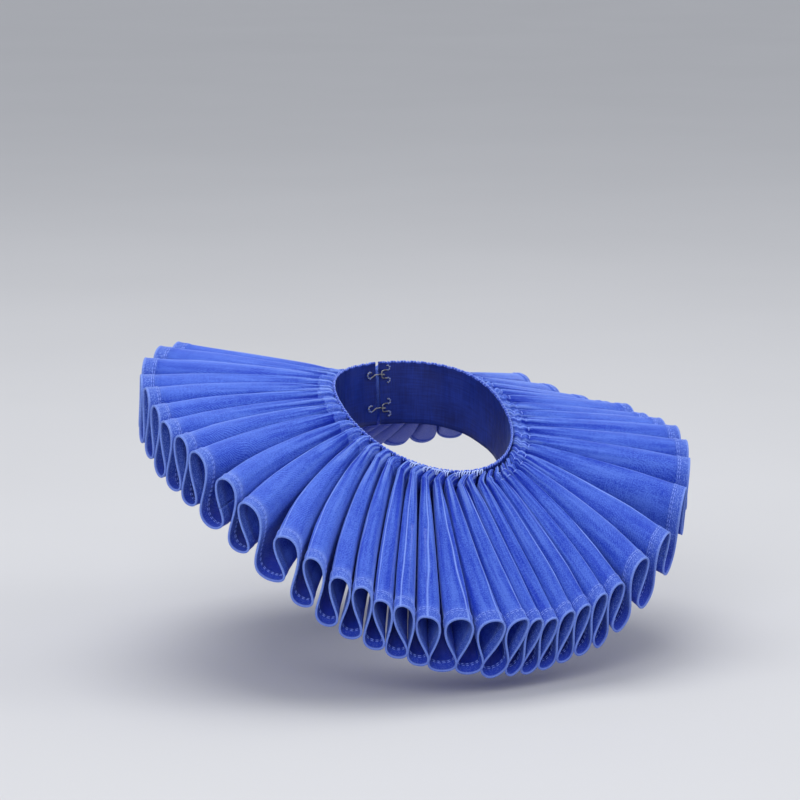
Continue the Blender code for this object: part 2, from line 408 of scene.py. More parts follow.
    def pitch(self, spot: StripPlaces) -> np.ndarray:
        """Angle that each pleat has round the ring: even at the neck, by the table at the hem.

        Args:
            spot: the places.

        Returns:
            Angles in radians, as rows by columns.
        """
        azimuths = np.radians(self.column("azimuth"))
        nearest = np.floor(spot.station)
        at_edge = self.between(azimuths, nearest + 1) - self.between(azimuths, nearest)
        return at_edge * spot.share + 2 * math.pi / len(PLEATS) * (1 - spot.share)

    def bulb(self, spot: StripPlaces, pitch: np.ndarray) -> np.ndarray:
        """How far the lobes swell to each side.

        Args:
            spot: the places.
            pitch: room for each pleat, in metres.

        Returns:
            The swell, as rows by columns.
        """
        sizes = self.sizes
        swell = 1 + (self.between(self.column("swell"), spot.station) - 1) * spot.share
        bulb = np.minimum(sizes.bulb_per_pitch * pitch - sizes.bulb_clearance, sizes.bulb_limit)
        return swell * bulb * (1 - sizes.neck_thin * np.exp(-((spot.rows / sizes.thin_run) ** 2)))

    def gathered_lean(self, spot: StripPlaces) -> np.ndarray:
        """How far the top folds lie over where they are gathered, most at the front.

        Args:
            spot: the places.

        Returns:
            The lean, as rows by columns.
        """
        sizes = self.sizes
        pleat = np.round(spot.station)
        run = sizes.lean_run * (1 + sizes.run_change * wander(pleat, 2.7))
        gathered = np.clip(1 - spot.rows / run, 0, 1) ** 1.5
        frontal = np.exp(-(((spot.azimuth - sizes.lean_azimuth) / sizes.lean_spread) ** 2))
        lean = sizes.neck_lean * (1 + sizes.lean_change * wander(pleat, 1.9, 1.0))
        return lean * (sizes.side_lean + (1 - sizes.side_lean) * frontal) * gathered

    def tacked(self, spot: StripPlaces) -> np.ndarray:
        """How hard the tacks pull each pleat in: 1 at a tack and 0 away from it.

        Args:
            spot: the places.

        Returns:
            The pull, as rows by columns.
        """
        sizes = self.sizes
        pull = sum(np.exp(-(((spot.rows - row) / sizes.tack_width) ** 2)) for row in sizes.tack_rows)
        return pull * np.clip((spot.azimuth - sizes.tacks_from) / sizes.tack_fade, 0, 1)

    def fold_rise(self, spot: StripPlaces) -> np.ndarray:
        """How far the folds stand out from a plain wave.

        The top folds are pressed flat, most near the neck, and lie over to both sides away from
        one azimuth. Some bottom folds come to a point at the hem.

        Args:
            spot: the places.

        Returns:
            Rise towards the top, in metres, as rows by columns.
        """
        sizes, wrapped = self.sizes, spot.wrapped
        square = np.interp(spot.share, sizes.square_shares, sizes.squares)
        top = np.maximum(np.cos(wrapped), 0.0)
        rise = square * np.sin(2 * wrapped) ** 2 * (top > 0)
        tilt = sizes.fold_tilt * np.interp(spot.share, sizes.tilt_shares, sizes.tilts)
        tilt = tilt * np.sin(spot.azimuth - sizes.tilt_azimuth)
        rise = rise + tilt * np.sin(2 * wrapped) * top**0.5
        after = np.clip(np.floor(spot.station).astype(int), 0, len(PLEATS) - 1)
        bottom = np.maximum(-np.cos(wrapped), 0.0) ** 8
        return rise - self.column("point")[after] * MM * bottom * spot.share**4

    def rumple(self, spot: StripPlaces) -> np.ndarray:
        """Uneven height of the gathers near the neck, with a bead in front of each tacked row.

        Args:
            spot: the places.

        Returns:
            Rise towards the top, in metres, as rows by columns.
        """
        sizes, rows, station = self.sizes, spot.rows, spot.station
        uneven = wander(station, 2.3) + wander(station, 5.1, 1.0) + 0.6 * wander(station, 13.7)
        beads = -np.cos(2 * math.pi * rows / sizes.gather_pitch + 0.5 * wander(station, 3.1))
        beads = beads * np.exp(-((rows / sizes.bead_run) ** 4)) * (0.6 + 0.4 * wander(station, 1.9))
        tacked = np.clip((station - sizes.beads_from) / sizes.bead_fade, 0.2, 1.0)
        rise = sizes.neck_rumple * uneven / 2.6 * np.exp(-rows / sizes.rumple_run)
        return rise + sizes.gather_rise * beads * tacked


def surface_normals(grid: np.ndarray) -> np.ndarray:
    """Unit normals of a grid of points, towards the outside of the top folds.

    Args:
        grid: points as rows by columns by 3.

    Returns:
        Normals in the same layout.
    """
    return unit(np.cross(np.gradient(grid, axis=0), np.gradient(grid, axis=1)))


def arc_lengths(line: np.ndarray) -> np.ndarray:
    """Distance along a line of points, from its first one."""
    steps = np.linalg.norm(np.diff(line, axis=0), axis=1)
    return np.concatenate([[0.0], np.cumsum(steps)])


@dataclass
class CreaseMarks:
    """Soft ridges and troughs pressed into the pleats, placed one by one."""

    form: PleatedForm
    line_share: float = 2.2
    fade_in: float = 12.0 * MM
    fade_out: float = 18.0 * MM
    gathers_each: float = 15.0
    gathers_change: float = 3.0
    reach_change: float = 0.4
    table: np.ndarray = field(init=False)

    def __post_init__(self) -> None:
        """Lays the front creases out again on the back half, turned end for end."""
        count, half = len(PLEATS), len(PLEATS) // 2
        back = tuple(((pleat + half) % count, -phase, *rest) for pleat, phase, *rest in CREASES)
        self.table = np.array(CREASES + back, float)

    def heights(self, phase: np.ndarray, distance: np.ndarray) -> np.ndarray:
        """Height of the creases over the plain surface.

        Args:
            phase: phase along the whole strip, one for each column.
            distance: distance from the neck edge, one for each row.

        Returns:
            Heights as rows by columns.
        """
        arc_per_phase = self.line_share * self.form.sizes.pleat_height / (2 * math.pi)
        heights = np.zeros((len(distance), len(phase)))
        for pleat, degrees, start, end, height, width in self.table:
            away = phase - (2 * math.pi * pleat + math.radians(degrees))
            across = np.exp(-((away * arc_per_phase / (width * MM)) ** 2))
            rise = np.clip((distance - start * MM) / self.fade_in, 0, 1)
            fall = np.clip((end * MM - distance) / self.fade_out, 0, 1)
            heights += height * MM * (rise * fall)[:, None] * across[None, :]
        return heights + self.gathers(phase, distance)

    def gathers(self, phase: np.ndarray, distance: np.ndarray) -> np.ndarray:
        """Small upright gathers across each top fold near the neck, uneven from pleat to pleat.

        Args:
            phase: phase along the whole strip, one for each column.
            distance: distance from the neck edge, one for each row.

        Returns:
            Heights as rows by columns.
        """
        sizes = self.form.sizes
        wrapped = fold_phase(phase)
        pleat = np.floor(phase / (2 * math.pi) + 0.5)
        count = self.gathers_each + self.gathers_change * wander(pleat, 2.1)
        waves = np.cos(count * wrapped + 2.4 * pleat) * np.clip(1.5 - np.abs(wrapped), 0, 1)
        reach = sizes.gather_run * (1 + self.reach_change * np.sin(1.7 * pleat + 1.5 * wrapped))
        fade = np.exp(-((np.maximum(distance, 0.0)[:, None] / reach) ** 2))
        return sizes.gather_height * waves * fade


class ClothFace(Enum):
    """The two faces of the cloth, as signs of its normal."""

    TOP = 1
    UNDER = -1


class Value:
    """What a node gives, ready for sums, differences, products and quotients by Math nodes."""

    def __init__(self, sketch: "NodeSketch", socket: bpy.types.NodeSocket) -> None:
        """Keeps the socket, and the sketch for nodes that are added after it."""
        self.sketch, self.socket = sketch, socket

    def __add__(self, other: object) -> "Value":
        """The sum."""
        return self.sketch.math("ADD", self, other)

    def __sub__(self, other: object) -> "Value":
        """The difference."""
        return self.sketch.math("SUBTRACT", self, other)

    def __rsub__(self, other: object) -> "Value":
        """What is left of the other."""
        return self.sketch.math("SUBTRACT", other, self)

    def __mul__(self, other: object) -> "Value":
        """The product."""
        return self.sketch.math("MULTIPLY", self, other)

    def __truediv__(self, other: object) -> "Value":
        """The quotient."""
        return self.sketch.math("DIVIDE", self, other)


class NodeSketch:
    """Adds nodes to one node tree with short calls."""

    def __init__(self, tree: bpy.types.NodeTree) -> None:
        """Keeps the tree that the nodes go in."""
        self.tree = tree

    def plug(self, socket: bpy.types.NodeSocket, value: object) -> None:
        """Links a socket to another, or sets its constant.

        Args:
            socket: the input to fill.
            value: a value, an output socket, a constant, or None to leave the input alone.
        """
        value = value.socket if isinstance(value, Value) else value
        if isinstance(value, bpy.types.NodeSocket):
            self.tree.links.new(value, socket)
        elif value is not None:
            socket.default_value = value

    def node(self, kind: str, settings: dict | None = None, **inputs: object) -> bpy.types.Node:
        """Adds one node.

        Args:
            kind: the node's type name.
            settings: properties to set before the inputs.
            inputs: inputs by name, with _ for each space.

        Returns:
            The node.
        """
        made = self.tree.nodes.new(kind)
        for name, value in (settings or {}).items():
            setattr(made, name, value)
        for name, value in inputs.items():
            sockets = [s for s in made.inputs if s.enabled and s.name == name.replace("_", " ")]
            self.plug(sockets[0], value)
        return made

    def group(self, shared: bpy.types.NodeTree, **inputs: object) -> bpy.types.Node:
        """Adds a shared group, with its inputs by name."""
        return self.node("ShaderNodeGroup", {"node_tree": shared}, **inputs)

    def read(self, node: bpy.types.Node, *names: str) -> list[Value]:
        """Some of a node's outputs, by name."""
        return [Value(self, node.outputs[name]) for name in names]

    def shown_output(self, node: bpy.types.Node) -> bpy.types.NodeSocket:
        """The output that a node shows for its kind of data."""
        return next(socket for socket in node.outputs if socket.enabled)

    def math(self, operation: str, first: object, second: object = None) -> Value:
        """A Math node's result.

        Args:
            operation: the node's operation.
            first: first value or socket.
            second: second value or socket.

        Returns:
            The result.
        """
        made = self.tree.nodes.new("ShaderNodeMath")
        made.operation = operation
        self.plug(made.inputs[0], first)
        self.plug(made.inputs[1], second)
        return Value(self, made.outputs[0])

    def larger(self, first: object, second: object) -> Value:
        """The larger of two values."""
        return self.math("MAXIMUM", first, second)

    def spread(
        self, value: object, low: float, high: float, start: float = 0.0, end: float = 1.0
    ) -> Value:
        """Maps a value from start..end to low..high, clamped.

        Args:
            value: the socket to read.
            low: result at start.
            high: result at end.
            start: value that gives low.
            end: value that gives high.

        Returns:
            The mapped value.
        """
        limits = {"From_Min": start, "From_Max": end, "To_Min": low, "To_Max": high}
        return self.read(self.node("ShaderNodeMapRange", Value=value, **limits), "Result")[0]

    def blend(self, factor: object, first: object, second: object) -> Value:
        """Mixes two colours.

        Args:
            factor: share of the second colour.
            first: first colour or socket.
            second: second colour or socket.

        Returns:
            The colour.
        """
        made = self.tree.nodes.new("ShaderNodeMix")
        made.data_type = "RGBA"
        by_id = {s.identifier: s for s in made.inputs}
        self.plug(by_id["Factor_Float"], factor)
        self.plug(by_id["A_Color"], first)
        self.plug(by_id["B_Color"], second)
        return Value(self, {s.identifier: s for s in made.outputs}["Result_Color"])

    def bell(self, value: object, middle: float, width: float) -> Value:
        """A soft mask, 1 where the value is at the middle.

        Args:
            value: the socket to read.
            middle: value where the mask is 1.
            width: how far from it the mask falls to about a third.

        Returns:
            The mask.
        """
        away = (value - middle) / width
        return self.math("EXPONENT", away * away * -1.0)

    def noise(self, vector: object, scale: float, detail: float = 2.0) -> Value:
        """Value of a noise texture at a vector."""
        made = self.node("ShaderNodeTexNoise", Vector=vector, Scale=scale, Detail=detail)
        return self.read(made, "Fac")[0]

    def bump(self, strength: float, distance: float, height: object, normal: object = None) -> Value:
        """Normal of a relief.

        Args:
            strength: strength of the relief.
            distance: height that a value of 1 stands for.
            height: the socket with the height.
            normal: normal of a coarser relief below it.

        Returns:
            The normal.
        """
        made = self.node("ShaderNodeBump", Strength=strength, Distance=distance, Height=height)
        self.plug(made.inputs["Normal"], normal)
        return self.read(made, "Normal")[0]


class SharedGroups:
    """Shader node groups that more than one finish uses, each built once."""

    SLUB_STRETCHES = ((60.0, 900.0, 1.0), (900.0, 60.0, 1.0))

    @classmethod
    @cache
    def threads(cls) -> bpy.types.NodeTree:
        """Plain weave: threads both ways over and under each other.

        Returns:
            A group from Vector and Pitch to Gap, Height and Slub.
        """
        tree = bpy.data.node_groups.new("woven_threads", "ShaderNodeTree")
        face = tree.interface
        face.new_socket("Vector", in_out="INPUT", socket_type="NodeSocketVector")
        face.new_socket("Pitch", in_out="INPUT", socket_type="NodeSocketFloat")
        for name in ("Gap", "Height", "Slub"):
            face.new_socket(name, in_out="OUTPUT", socket_type="NodeSocketFloat")
        sketch = NodeSketch(tree)
        start, end = tree.nodes.new("NodeGroupInput"), tree.nodes.new("NodeGroupOutput")
        place = start.outputs["Vector"]
        waves, sines = [], []
        for axis in sketch.read(sketch.node("ShaderNodeSeparateXYZ", Vector=place), "X", "Y"):
            turns = axis / start.outputs["Pitch"]
            wave = sketch.math("COSINE", turns * (2 * math.pi))
            waves.append(sketch.spread(wave, 0.0, 1.0, -1.0, 1.0))
            sines.append(sketch.math("SINE", turns * math.pi))
        over = sketch.spread(sines[0] * sines[1], 0.0, 1.0, -0.3, 0.3)
        slubs = []
        for stretch in cls.SLUB_STRETCHES:
            drawn = sketch.node("ShaderNodeVectorMath", {"operation": "MULTIPLY"}, Vector=place)
            drawn.inputs[1].default_value = stretch
            slubs.append(sketch.noise(drawn.outputs[0], 1.0))
        sketch.plug(end.inputs["Gap"], (1.0 - waves[0]) * (1.0 - waves[1]))
        sketch.plug(end.inputs["Height"], waves[0] * over + waves[1] * (1.0 - over))
        sketch.plug(end.inputs["Slub"], (slubs[0] + slubs[1]) * 0.5)
        return tree

    @classmethod
    @cache
    def grain(cls) -> bpy.types.NodeTree:
        """Uneven grain on Object coordinates, for wear, fuzz and faint stains.

        Returns:
            A group from Scale to Fine and Broad masks.
        """
        tree = bpy.data.node_groups.new("uneven_grain", "ShaderNodeTree")
        tree.interface.new_socket("Scale", in_out="INPUT", socket_type="NodeSocketFloat")
        for name in ("Fine", "Broad"):
            tree.interface.new_socket(name, in_out="OUTPUT", socket_type="NodeSocketFloat")
        sketch = NodeSketch(tree)
        start, end = tree.nodes.new("NodeGroupInput"), tree.nodes.new("NodeGroupOutput")
        place = sketch.node("ShaderNodeTexCoord").outputs["Object"]
        (scale,) = sketch.read(start, "Scale")
        sketch.plug(end.inputs["Fine"], sketch.noise(place, scale, 4.0))
        sketch.plug(end.inputs["Broad"], sketch.noise(place, scale * 0.06, 3.0))
        return tree


def start_material(name: str) -> tuple[bpy.types.Material, NodeSketch, bpy.types.Node]:
    """A new material.

    Args:
        name: the material's name.

    Returns:
        The material, a sketch of its tree and its Principled node.
    """
    made = bpy.data.materials.new(name)
    made.use_nodes = True
    return made, NodeSketch(made.node_tree), made.node_tree.nodes["Principled BSDF"]


@dataclass(frozen=True)
class OrganzaFinish:
    """Stiff sheer cloth: see-through when single, denser where it is turned or seen edge-on."""

    name: str = "blue_organza"
    deep: tuple = (0.019, 0.062, 0.60, 1.0)
    light: tuple = (0.122, 0.250, 0.90, 1.0)
    # Pale blue of the speckle on the turned cloth and the hem, and of the painted highlights.
    edge: tuple = (0.320, 0.470, 1.00, 1.0)
    hem: tuple = (0.056, 0.122, 0.56, 1.0)
    turning: tuple = (0.118, 0.240, 0.88, 1.0)
    shade: tuple = (0.002, 0.020, 0.46, 1.0)
    # Near-white colour of the painted glints.
    glint: tuple = (0.700, 0.820, 1.00, 1.0)
    sheen_tint: tuple = (0.28, 0.44, 1.0, 1.0)
    sheen: float = 0.18
    sheen_roughness: float = 0.35
    specular: float = 0.14
    single_cover: float = 0.69
    turned_cover: float = 0.84
    hem_cover: float = 0.92
    folded_cover: float = 0.18
    thread_pitch: float = 0.42 * MM
    grain_scale: float = 1250.0
    front_pleat: float = 25.0
    front_spread: float = 8.5
    near_run: float = 26.0 * MM
    streak_count: float = 26.0
    band_count: float = 8.0
    streak_run: float = 35.0 * MM
    # Painted light: how much lighter the side pleats are made than the front ones.
    painted_side_light: float = 0.06
    ripple: float = 0.26
    front_ripple: float = 0.04
    ripple_pitch: float = 1.9 * MM
    press_place: float = 0.066
    press_turn: float = 20.5
    press_width: float = 0.014
    press_light: float = 0.8
    ridge_light: float = 0.75
    rim_light: float = 0.45
    inner_start: float = 0.27
    inner_ramp: float = 0.15
    inner_shade: float = 0.85
    front_shade: float = 0.22
    deepest_shade: float = 0.92
    open_from: float = 16.0 * MM
    open_to: float = 74.0 * MM
    glint_pleat: float = 22.8
    glint_spread: float = 2.6
    glint_place: float = 1.4 * MM
    glint_run: float = 1.2 * MM

    def material(self, sizes: CollarSizes) -> bpy.types.Material:
        """Builds the cloth's material.

        Args:
            sizes: the collar's sizes, for where the cloth is turned.

        Returns:
            The material.
        """
        made, sketch, shader = start_material(self.name)
        tree = OrganzaTree(self, sizes, sketch)
        sketch.plug(shader.inputs["Base Color"], tree.colour())
        sketch.plug(shader.inputs["Alpha"], tree.cover())
        sketch.plug(shader.inputs["Roughness"], sketch.spread(tree.fine, 0.42, 0.60))
        sketch.plug(shader.inputs["Normal"], tree.relief())
        shader.inputs["Sheen Weight"].default_value = self.sheen
        shader.inputs["Sheen Roughness"].default_value = self.sheen_roughness
        shader.inputs["Sheen Tint"].default_value = self.sheen_tint
        shader.inputs["Specular IOR Level"].default_value = self.specular
        return made


class OrganzaTree:
    """The sheer cloth's node tree, made from what it reads of the cloth's two UV maps.

    The map cloth is in metres, U along the strip and V outwards. The map folds has pleats
    along the strip in U.
    """

    def __init__(self, look: OrganzaFinish, sizes: CollarSizes, sketch: NodeSketch) -> None:
        """Reads the maps, and makes the masks that several of the colours share.

        Args:
            look: the cloth's colours and other values.
            sizes: the collar's sizes, for where the cloth is turned.
            sketch: the material's sketch.
        """
        self.look, self.sizes, self.sketch = look, sizes, sketch
        self.place = sketch.node("ShaderNodeUVMap", {"uv_map": "cloth"}).outputs["UV"]
        folds = sketch.node("ShaderNodeUVMap", {"uv_map": "folds"}).outputs["UV"]
        split = sketch.node("ShaderNodeSeparateXYZ", Vector=folds)
        self.turns, self.outwards = sketch.read(split, "X", "Y")
        self.within = sketch.math("FRACT", self.turns + 0.5) - 0.5
        self.deep_in = sketch.math("ABSOLUTE", self.within)
        self.front = sketch.bell(self.turns, look.front_pleat, look.front_spread)
        self.near = self.fading(look.near_run)
        self.facing = sketch.node("ShaderNodeLayerWeight", Blend=0.5).outputs["Facing"]
        weave = sketch.group(SharedGroups.threads(), Vector=self.place, Pitch=look.thread_pitch)
        self.gap, self.thread_height, self.slub = sketch.read(weave, "Gap", "Height", "Slub")
        grain = sketch.group(SharedGroups.grain(), Scale=look.grain_scale)
        self.fine, self.broad = sketch.read(grain, "Fine", "Broad")
        self.hem, self.neck = self.turned_masks()
        self.streak = self.streaks()
        self.press = self.pressed_line()

    def fading(self, run: float) -> Value:
        """A mask that fades outwards from the neck edge, over a run in metres."""
        return self.sketch.math("EXPONENT", self.outwards * (-1 / run))

    def noise_at(self, scale: float = 1.0, detail: float = 2.0, **axes: object) -> Value:
        """Noise at a point that is given by its X, Y and Z."""
        point = self.sketch.node("ShaderNodeCombineXYZ", **axes).outputs[0]
        return self.sketch.noise(point, scale, detail)

    def turned_masks(self) -> tuple[Value, Value]:
        """Masks of the hem and of the neck turning, which is caught unevenly from pleat to pleat.

        Returns:
            The two masks.
        """
        spread, soft, neck_soft = self.sketch.spread, 0.12 * MM, 0.48 * MM
        hem_edge = self.sizes.frill_depth - self.sizes.hem_width
        hem = spread(self.outwards, 0.0, 1.0, hem_edge - soft, hem_edge + soft)
        pleat = self.sketch.math("FLOOR", self.turns + 0.5)
        uneven = spread(self.noise_at(X=pleat * 0.73), -2.6 * MM, 2.6 * MM, 0.3, 0.7)
        ragged = spread(self.noise_at(X=self.turns * 9.0), -1.1 * MM, 1.1 * MM, 0.3, 0.7)
        place, turning = self.outwards + uneven + ragged, self.sizes.neck_turning
        return hem, spread(place, 1.0, 0.0, turning - neck_soft, turning + neck_soft)

    def pressed_line(self) -> Value:
        """The thin edge pressed along the side of each top fold.

        Returns:
            A mask of the line, stronger on some pleats than on others.
        """
        sketch, look, along = self.sketch, self.look, self.outwards * 14.0
        wander = sketch.spread(self.noise_at(0.9, X=self.turns, Y=along), -0.02, 0.02, 0.3, 0.7)
        first, last = look.press_turn - 2.0, look.press_turn + 2.0
        side = sketch.spread(self.turns, -look.press_place, look.press_place, first, last)
        away = sketch.math("ABSOLUTE", self.within - (wander + side))
        line = sketch.spread(away, 1.0, 0.0, 0.0, look.press_width)
        strength = sketch.spread(self.noise_at(0.55, X=self.turns, Y=along), 0.6, 1.0, 0.3, 0.5)
        return sketch.math("POWER", line, 1.5) * strength

    def streaks(self) -> Value:
        """Fine lengthwise streaks, closest near the gathers.

        Returns:
            A value about one half.
        """
        look = self.look
        fine = self.noise_at(1.0, 3.0, X=self.turns * look.streak_count, Y=self.outwards * 22.0)
        bands = self.noise_at(X=self.turns * look.band_count, Y=self.outwards, Z=2.0)
        closer = self.sketch.spread(self.fading(look.streak_run), 0.65, 2.6)
        return (fine - 0.5) * closer + (bands - 0.5) * 0.8 + 0.5

    def watered(self) -> Value:
        """Slanting ripples where the weave of one layer shows through another.

        Returns:
            Ripples from -1 to 1, in patches.
        """
        sketch, pitch = self.sketch, self.look.ripple_pitch
        split = sketch.node("ShaderNodeSeparateXYZ", Vector=self.place)
        along, out = sketch.read(split, "X", "Y")
        bend = sketch.spread(sketch.noise(self.place, 28.0), 0.0, pitch * 7, 0.2, 0.8)
        waves = (along + out * 0.7 + bend) * (2 * math.pi / pitch)
        patches = sketch.spread(sketch.noise(self.place, 17.0), 0.0, 1.0, 0.42, 0.58)
        return sketch.math("SINE", waves) * patches

    def body(self) -> Value:
        """Colour of the single cloth, drawn into streaks at the front, rippled at the sides, with
        painted light there.

        Returns:
            The colour.
        """
        spread, look = self.sketch.spread, self.look
        tone = spread(self.fine, -0.32, 0.32, 0.35, 0.65)
        tone = tone + spread(self.broad, 0.42, 0.58, 0.3, 0.7)
        tone = tone + spread(self.slub, -0.12, 0.12, 0.35, 0.65)
        tone = tone + spread(self.streak, -0.4, 0.4, 0.3, 0.7) * spread(self.front, 0.5, 1.0)
        # Painted light: the pleats away from the front are made lighter.
        tone = tone + spread(self.front, look.painted_side_light, 0.0)
        tone = tone + self.watered() * spread(self.front, look.ripple, look.front_ripple)
        return self.sketch.blend(spread(tone, 0.0, 1.0, 0.1, 0.9), look.deep, look.light)

    def depth_shade(self) -> Value:
        """How dark each place is for lying deep between the folds or in a groove of the gathers.

        Returns:
            A mask.
        """
        sketch, look, front = self.sketch, self.look, self.front
        open_front = sketch.spread(self.outwards, 1.0, 0.0, look.open_from, look.open_to) * front
        start = look.inner_start - front * 0.07 - open_front * 0.145 - self.fading(4 * MM) * 0.11
        inner = (self.deep_in - start) / (look.inner_ramp - open_front * 0.085)
        inner = sketch.spread(inner, 0.0, look.inner_shade) * sketch.spread(self.hem, 1.0, 0.78)
        inner = sketch.larger(inner, front * look.front_shade)
        grooves = self.near * sketch.spread(self.streak, 1.3, 0.0, 0.25, 0.62)
        grooves = grooves * (1.0 - self.neck * (0.6 - front * 0.6))
        return sketch.math("MINIMUM", sketch.larger(inner, grooves), look.deepest_shade)

    def lit_edges(self) -> Value:
        """Painted highlights and sheen: pressed lines, edges seen along, the rim and small ridges.

        Returns:
            A mask.
        """
        sketch, look, soft = self.sketch, self.look, 0.3 * MM
        # Painted sheen: lighter where the cloth is seen edge-on.
        graze = sketch.math("POWER", self.facing, 4.0)
        graze = graze * sketch.spread(self.deep_in, 0.6, 0.0, 0.12, 0.26)
        lit = sketch.larger(self.press * look.press_light, graze)
        fold = self.sizes.frill_depth - self.sizes.hem_rim
        rim = sketch.spread(self.outwards, 0.0, look.rim_light, fold - soft, fold + soft)
        ridges = self.near * sketch.spread(self.streak, 0.0, look.ridge_light, 0.56, 0.74)
        ridges = ridges * sketch.spread(self.deep_in, 1.0, 0.0, 0.1, 0.2)
        return sketch.larger(sketch.larger(lit, rim), ridges)

    def glints(self) -> Value:
        """Painted glints: bright specks at the ends of the front pleats.

        Returns:
            A mask.
        """
        sketch, look = self.sketch, self.look
        bright = sketch.bell(self.turns, look.glint_pleat, look.glint_spread)
        bright = bright * sketch.spread(self.fine, 0.0, 0.7, 0.46, 0.66)
        bright = bright * sketch.bell(self.outwards, look.glint_place, look.glint_run)
        bright = bright * sketch.spread(self.deep_in, 2.0, 0.0, 0.05, 0.12)
        return sketch.math("MINIMUM", bright, 1.0)

    def colour(self) -> Value:
        """Colour of the cloth, its turned edges, and painted shade, highlights and glints on its
        folds.

        Returns:
            The colour.
        """
        blend, spread, look = self.sketch.blend, self.sketch.spread, self.look
        dots = spread(self.fine, 0.0, 0.9, 0.5, 0.6)
        turned = blend(dots, look.turning, look.edge)
        made = blend(self.neck * (0.7 - self.front * 0.35), self.body(), turned)
        made = blend(self.hem * 0.85, made, blend(dots * 0.62, look.hem, look.edge))
        made = blend(self.depth_shade(), made, look.shade)
        # Painted highlights on pressed lines, edges seen along, the rim and ridges.
        made = blend(self.lit_edges(), made, look.edge)
        made = blend(self.glints(), made, look.glint)
        return blend(spread(self.gap, 0.0, 0.2), made, look.deep)

    def cover(self) -> Value:
        """How much of the light the cloth stops.

        Returns:
            A share from 0 to 1.
        """
        sketch, look = self.sketch, self.look
        cover = sketch.spread(self.neck, look.single_cover, look.turned_cover)
        folded = sketch.spread(self.deep_in, 0.0, look.folded_cover, 0.20, 0.34)
        cover = cover + folded * sketch.spread(self.hem, 1.0, 0.0)
        cover = cover + self.hem * (look.hem_cover - look.single_cover)
        edge_on = sketch.larger(sketch.math("POWER", self.facing, 2.0) * 0.9, self.press)
        return 1.0 - (1.0 - cover) * (1.0 - edge_on) * sketch.spread(self.gap, 0.75, 1.5)

    def relief(self) -> Value:
        """Bumps of the streaks, the pressed lines and the threads.

        Returns:
            The normal.
        """
        ribs = self.streak * self.sketch.spread(self.near, 0.4, 1.0, 0.0, 0.5) + self.press * 0.5
        coarse = self.sketch.bump(0.6, 0.6 * MM, ribs)
        return self.sketch.bump(0.5, 0.12 * MM, self.thread_height, coarse)


@dataclass(frozen=True)
class RibbonFinish:
    """Satin ribbon of the neck band, with fine ribs and a wall in painted shade."""

    name: str = "blue_satin"
    # Painted shade: the wall's colours are darker than the rolled edge's, as if shaded inside the
    # collar.
    deep: tuple = (0.003, 0.010, 0.12, 1.0)
    light: tuple = (0.009, 0.028, 0.25, 1.0)
    rolled: tuple = (0.028, 0.068, 0.46, 1.0)
    thread_pitch: float = 0.30 * MM
    grain_scale: float = 700.0
    sheen: float = 0.08
    sheen_roughness: float = 0.3
    sheen_tint: tuple = (0.4, 0.55, 1.0, 1.0)
    specular: float = 0.25
    anisotropic: float = 0.4

    def material(self, roll: tuple[float, float]) -> bpy.types.Material:
        """Builds the ribbon's material on its UV map.

        Args:
            roll: where the rolled edge starts and ends along the ribbon's section, in metres.

        Returns:
            The material.
        """
        made, sketch, shader = start_material(self.name)
        place = sketch.node("ShaderNodeUVMap", {"uv_map": "cloth"}).outputs["UV"]
        weave = sketch.group(SharedGroups.threads(), Vector=place, Pitch=self.thread_pitch)
        height, slub = sketch.read(weave, "Height", "Slub")
        grain = sketch.group(SharedGroups.grain(), Scale=self.grain_scale)
        fine, broad = sketch.read(grain, "Fine", "Broad")
        tone = sketch.spread(broad + sketch.spread(slub, -0.3, 0.3, 0.3, 0.7), 0.0, 1.0, 0.2, 0.8)
        flat = sketch.blend(tone, self.deep, self.light)
        section = sketch.node("ShaderNodeSeparateXYZ", Vector=place).outputs["Y"]
        after = sketch.math("GREATER_THAN", section, roll[0])
        rolled = after * sketch.math("LESS_THAN", section, roll[1])
        # Painted shade on the band's wall; the rolled top edge keeps the lighter colour.
        sketch.plug(shader.inputs["Base Color"], sketch.blend(rolled, flat, self.rolled))
        sketch.plug(shader.inputs["Roughness"], sketch.spread(fine, 0.28, 0.42))
        sketch.plug(shader.inputs["Normal"], sketch.bump(0.3, 0.08 * MM, height))
        shader.inputs["Sheen Weight"].default_value = self.sheen
        shader.inputs["Sheen Roughness"].default_value = self.sheen_roughness
        shader.inputs["Sheen Tint"].default_value = self.sheen_tint
        shader.inputs["Specular IOR Level"].default_value = self.specular
        shader.inputs["Anisotropic"].default_value = self.anisotropic
        return made


@dataclass(frozen=True)
class ThreadFinish:
    """Twisted sewing thread."""

    name: str = "blue_thread"
    deep: tuple = (0.110, 0.210, 0.85, 1.0)
    light: tuple = (0.290, 0.430, 1.00, 1.0)
    roughness: float = 0.45
    roughness_change: float = 0.08
    grain_scale: float = 2600.0
    sheen: float = 0.3

    def material(self) -> bpy.types.Material:
        """Builds the thread's material on Object coordinates.

        Returns:
            The material.
        """
        made, sketch, shader = start_material(self.name)
        grain = sketch.group(SharedGroups.grain(), Scale=self.grain_scale)
        fine = grain.outputs["Fine"]
        sketch.plug(shader.inputs["Base Color"], sketch.blend(fine, self.deep, self.light))
        rough = (self.roughness - self.roughness_change, self.roughness + self.roughness_change)
        sketch.plug(shader.inputs["Roughness"], sketch.spread(grain.outputs["Broad"], *rough))
        sketch.plug(shader.inputs["Normal"], sketch.bump(0.4, 0.05 * MM, fine))
        shader.inputs["Sheen Weight"].default_value = self.sheen
        return made


# Near-white thread over the front tabs; its pale colour is partly a painted highlight.
SATIN_THREAD = ThreadFinish(
    name="satin_thread", deep=(0.20, 0.34, 1.0, 1.0), light=(0.66, 0.78, 1.0, 1.0), roughness=0.25
)


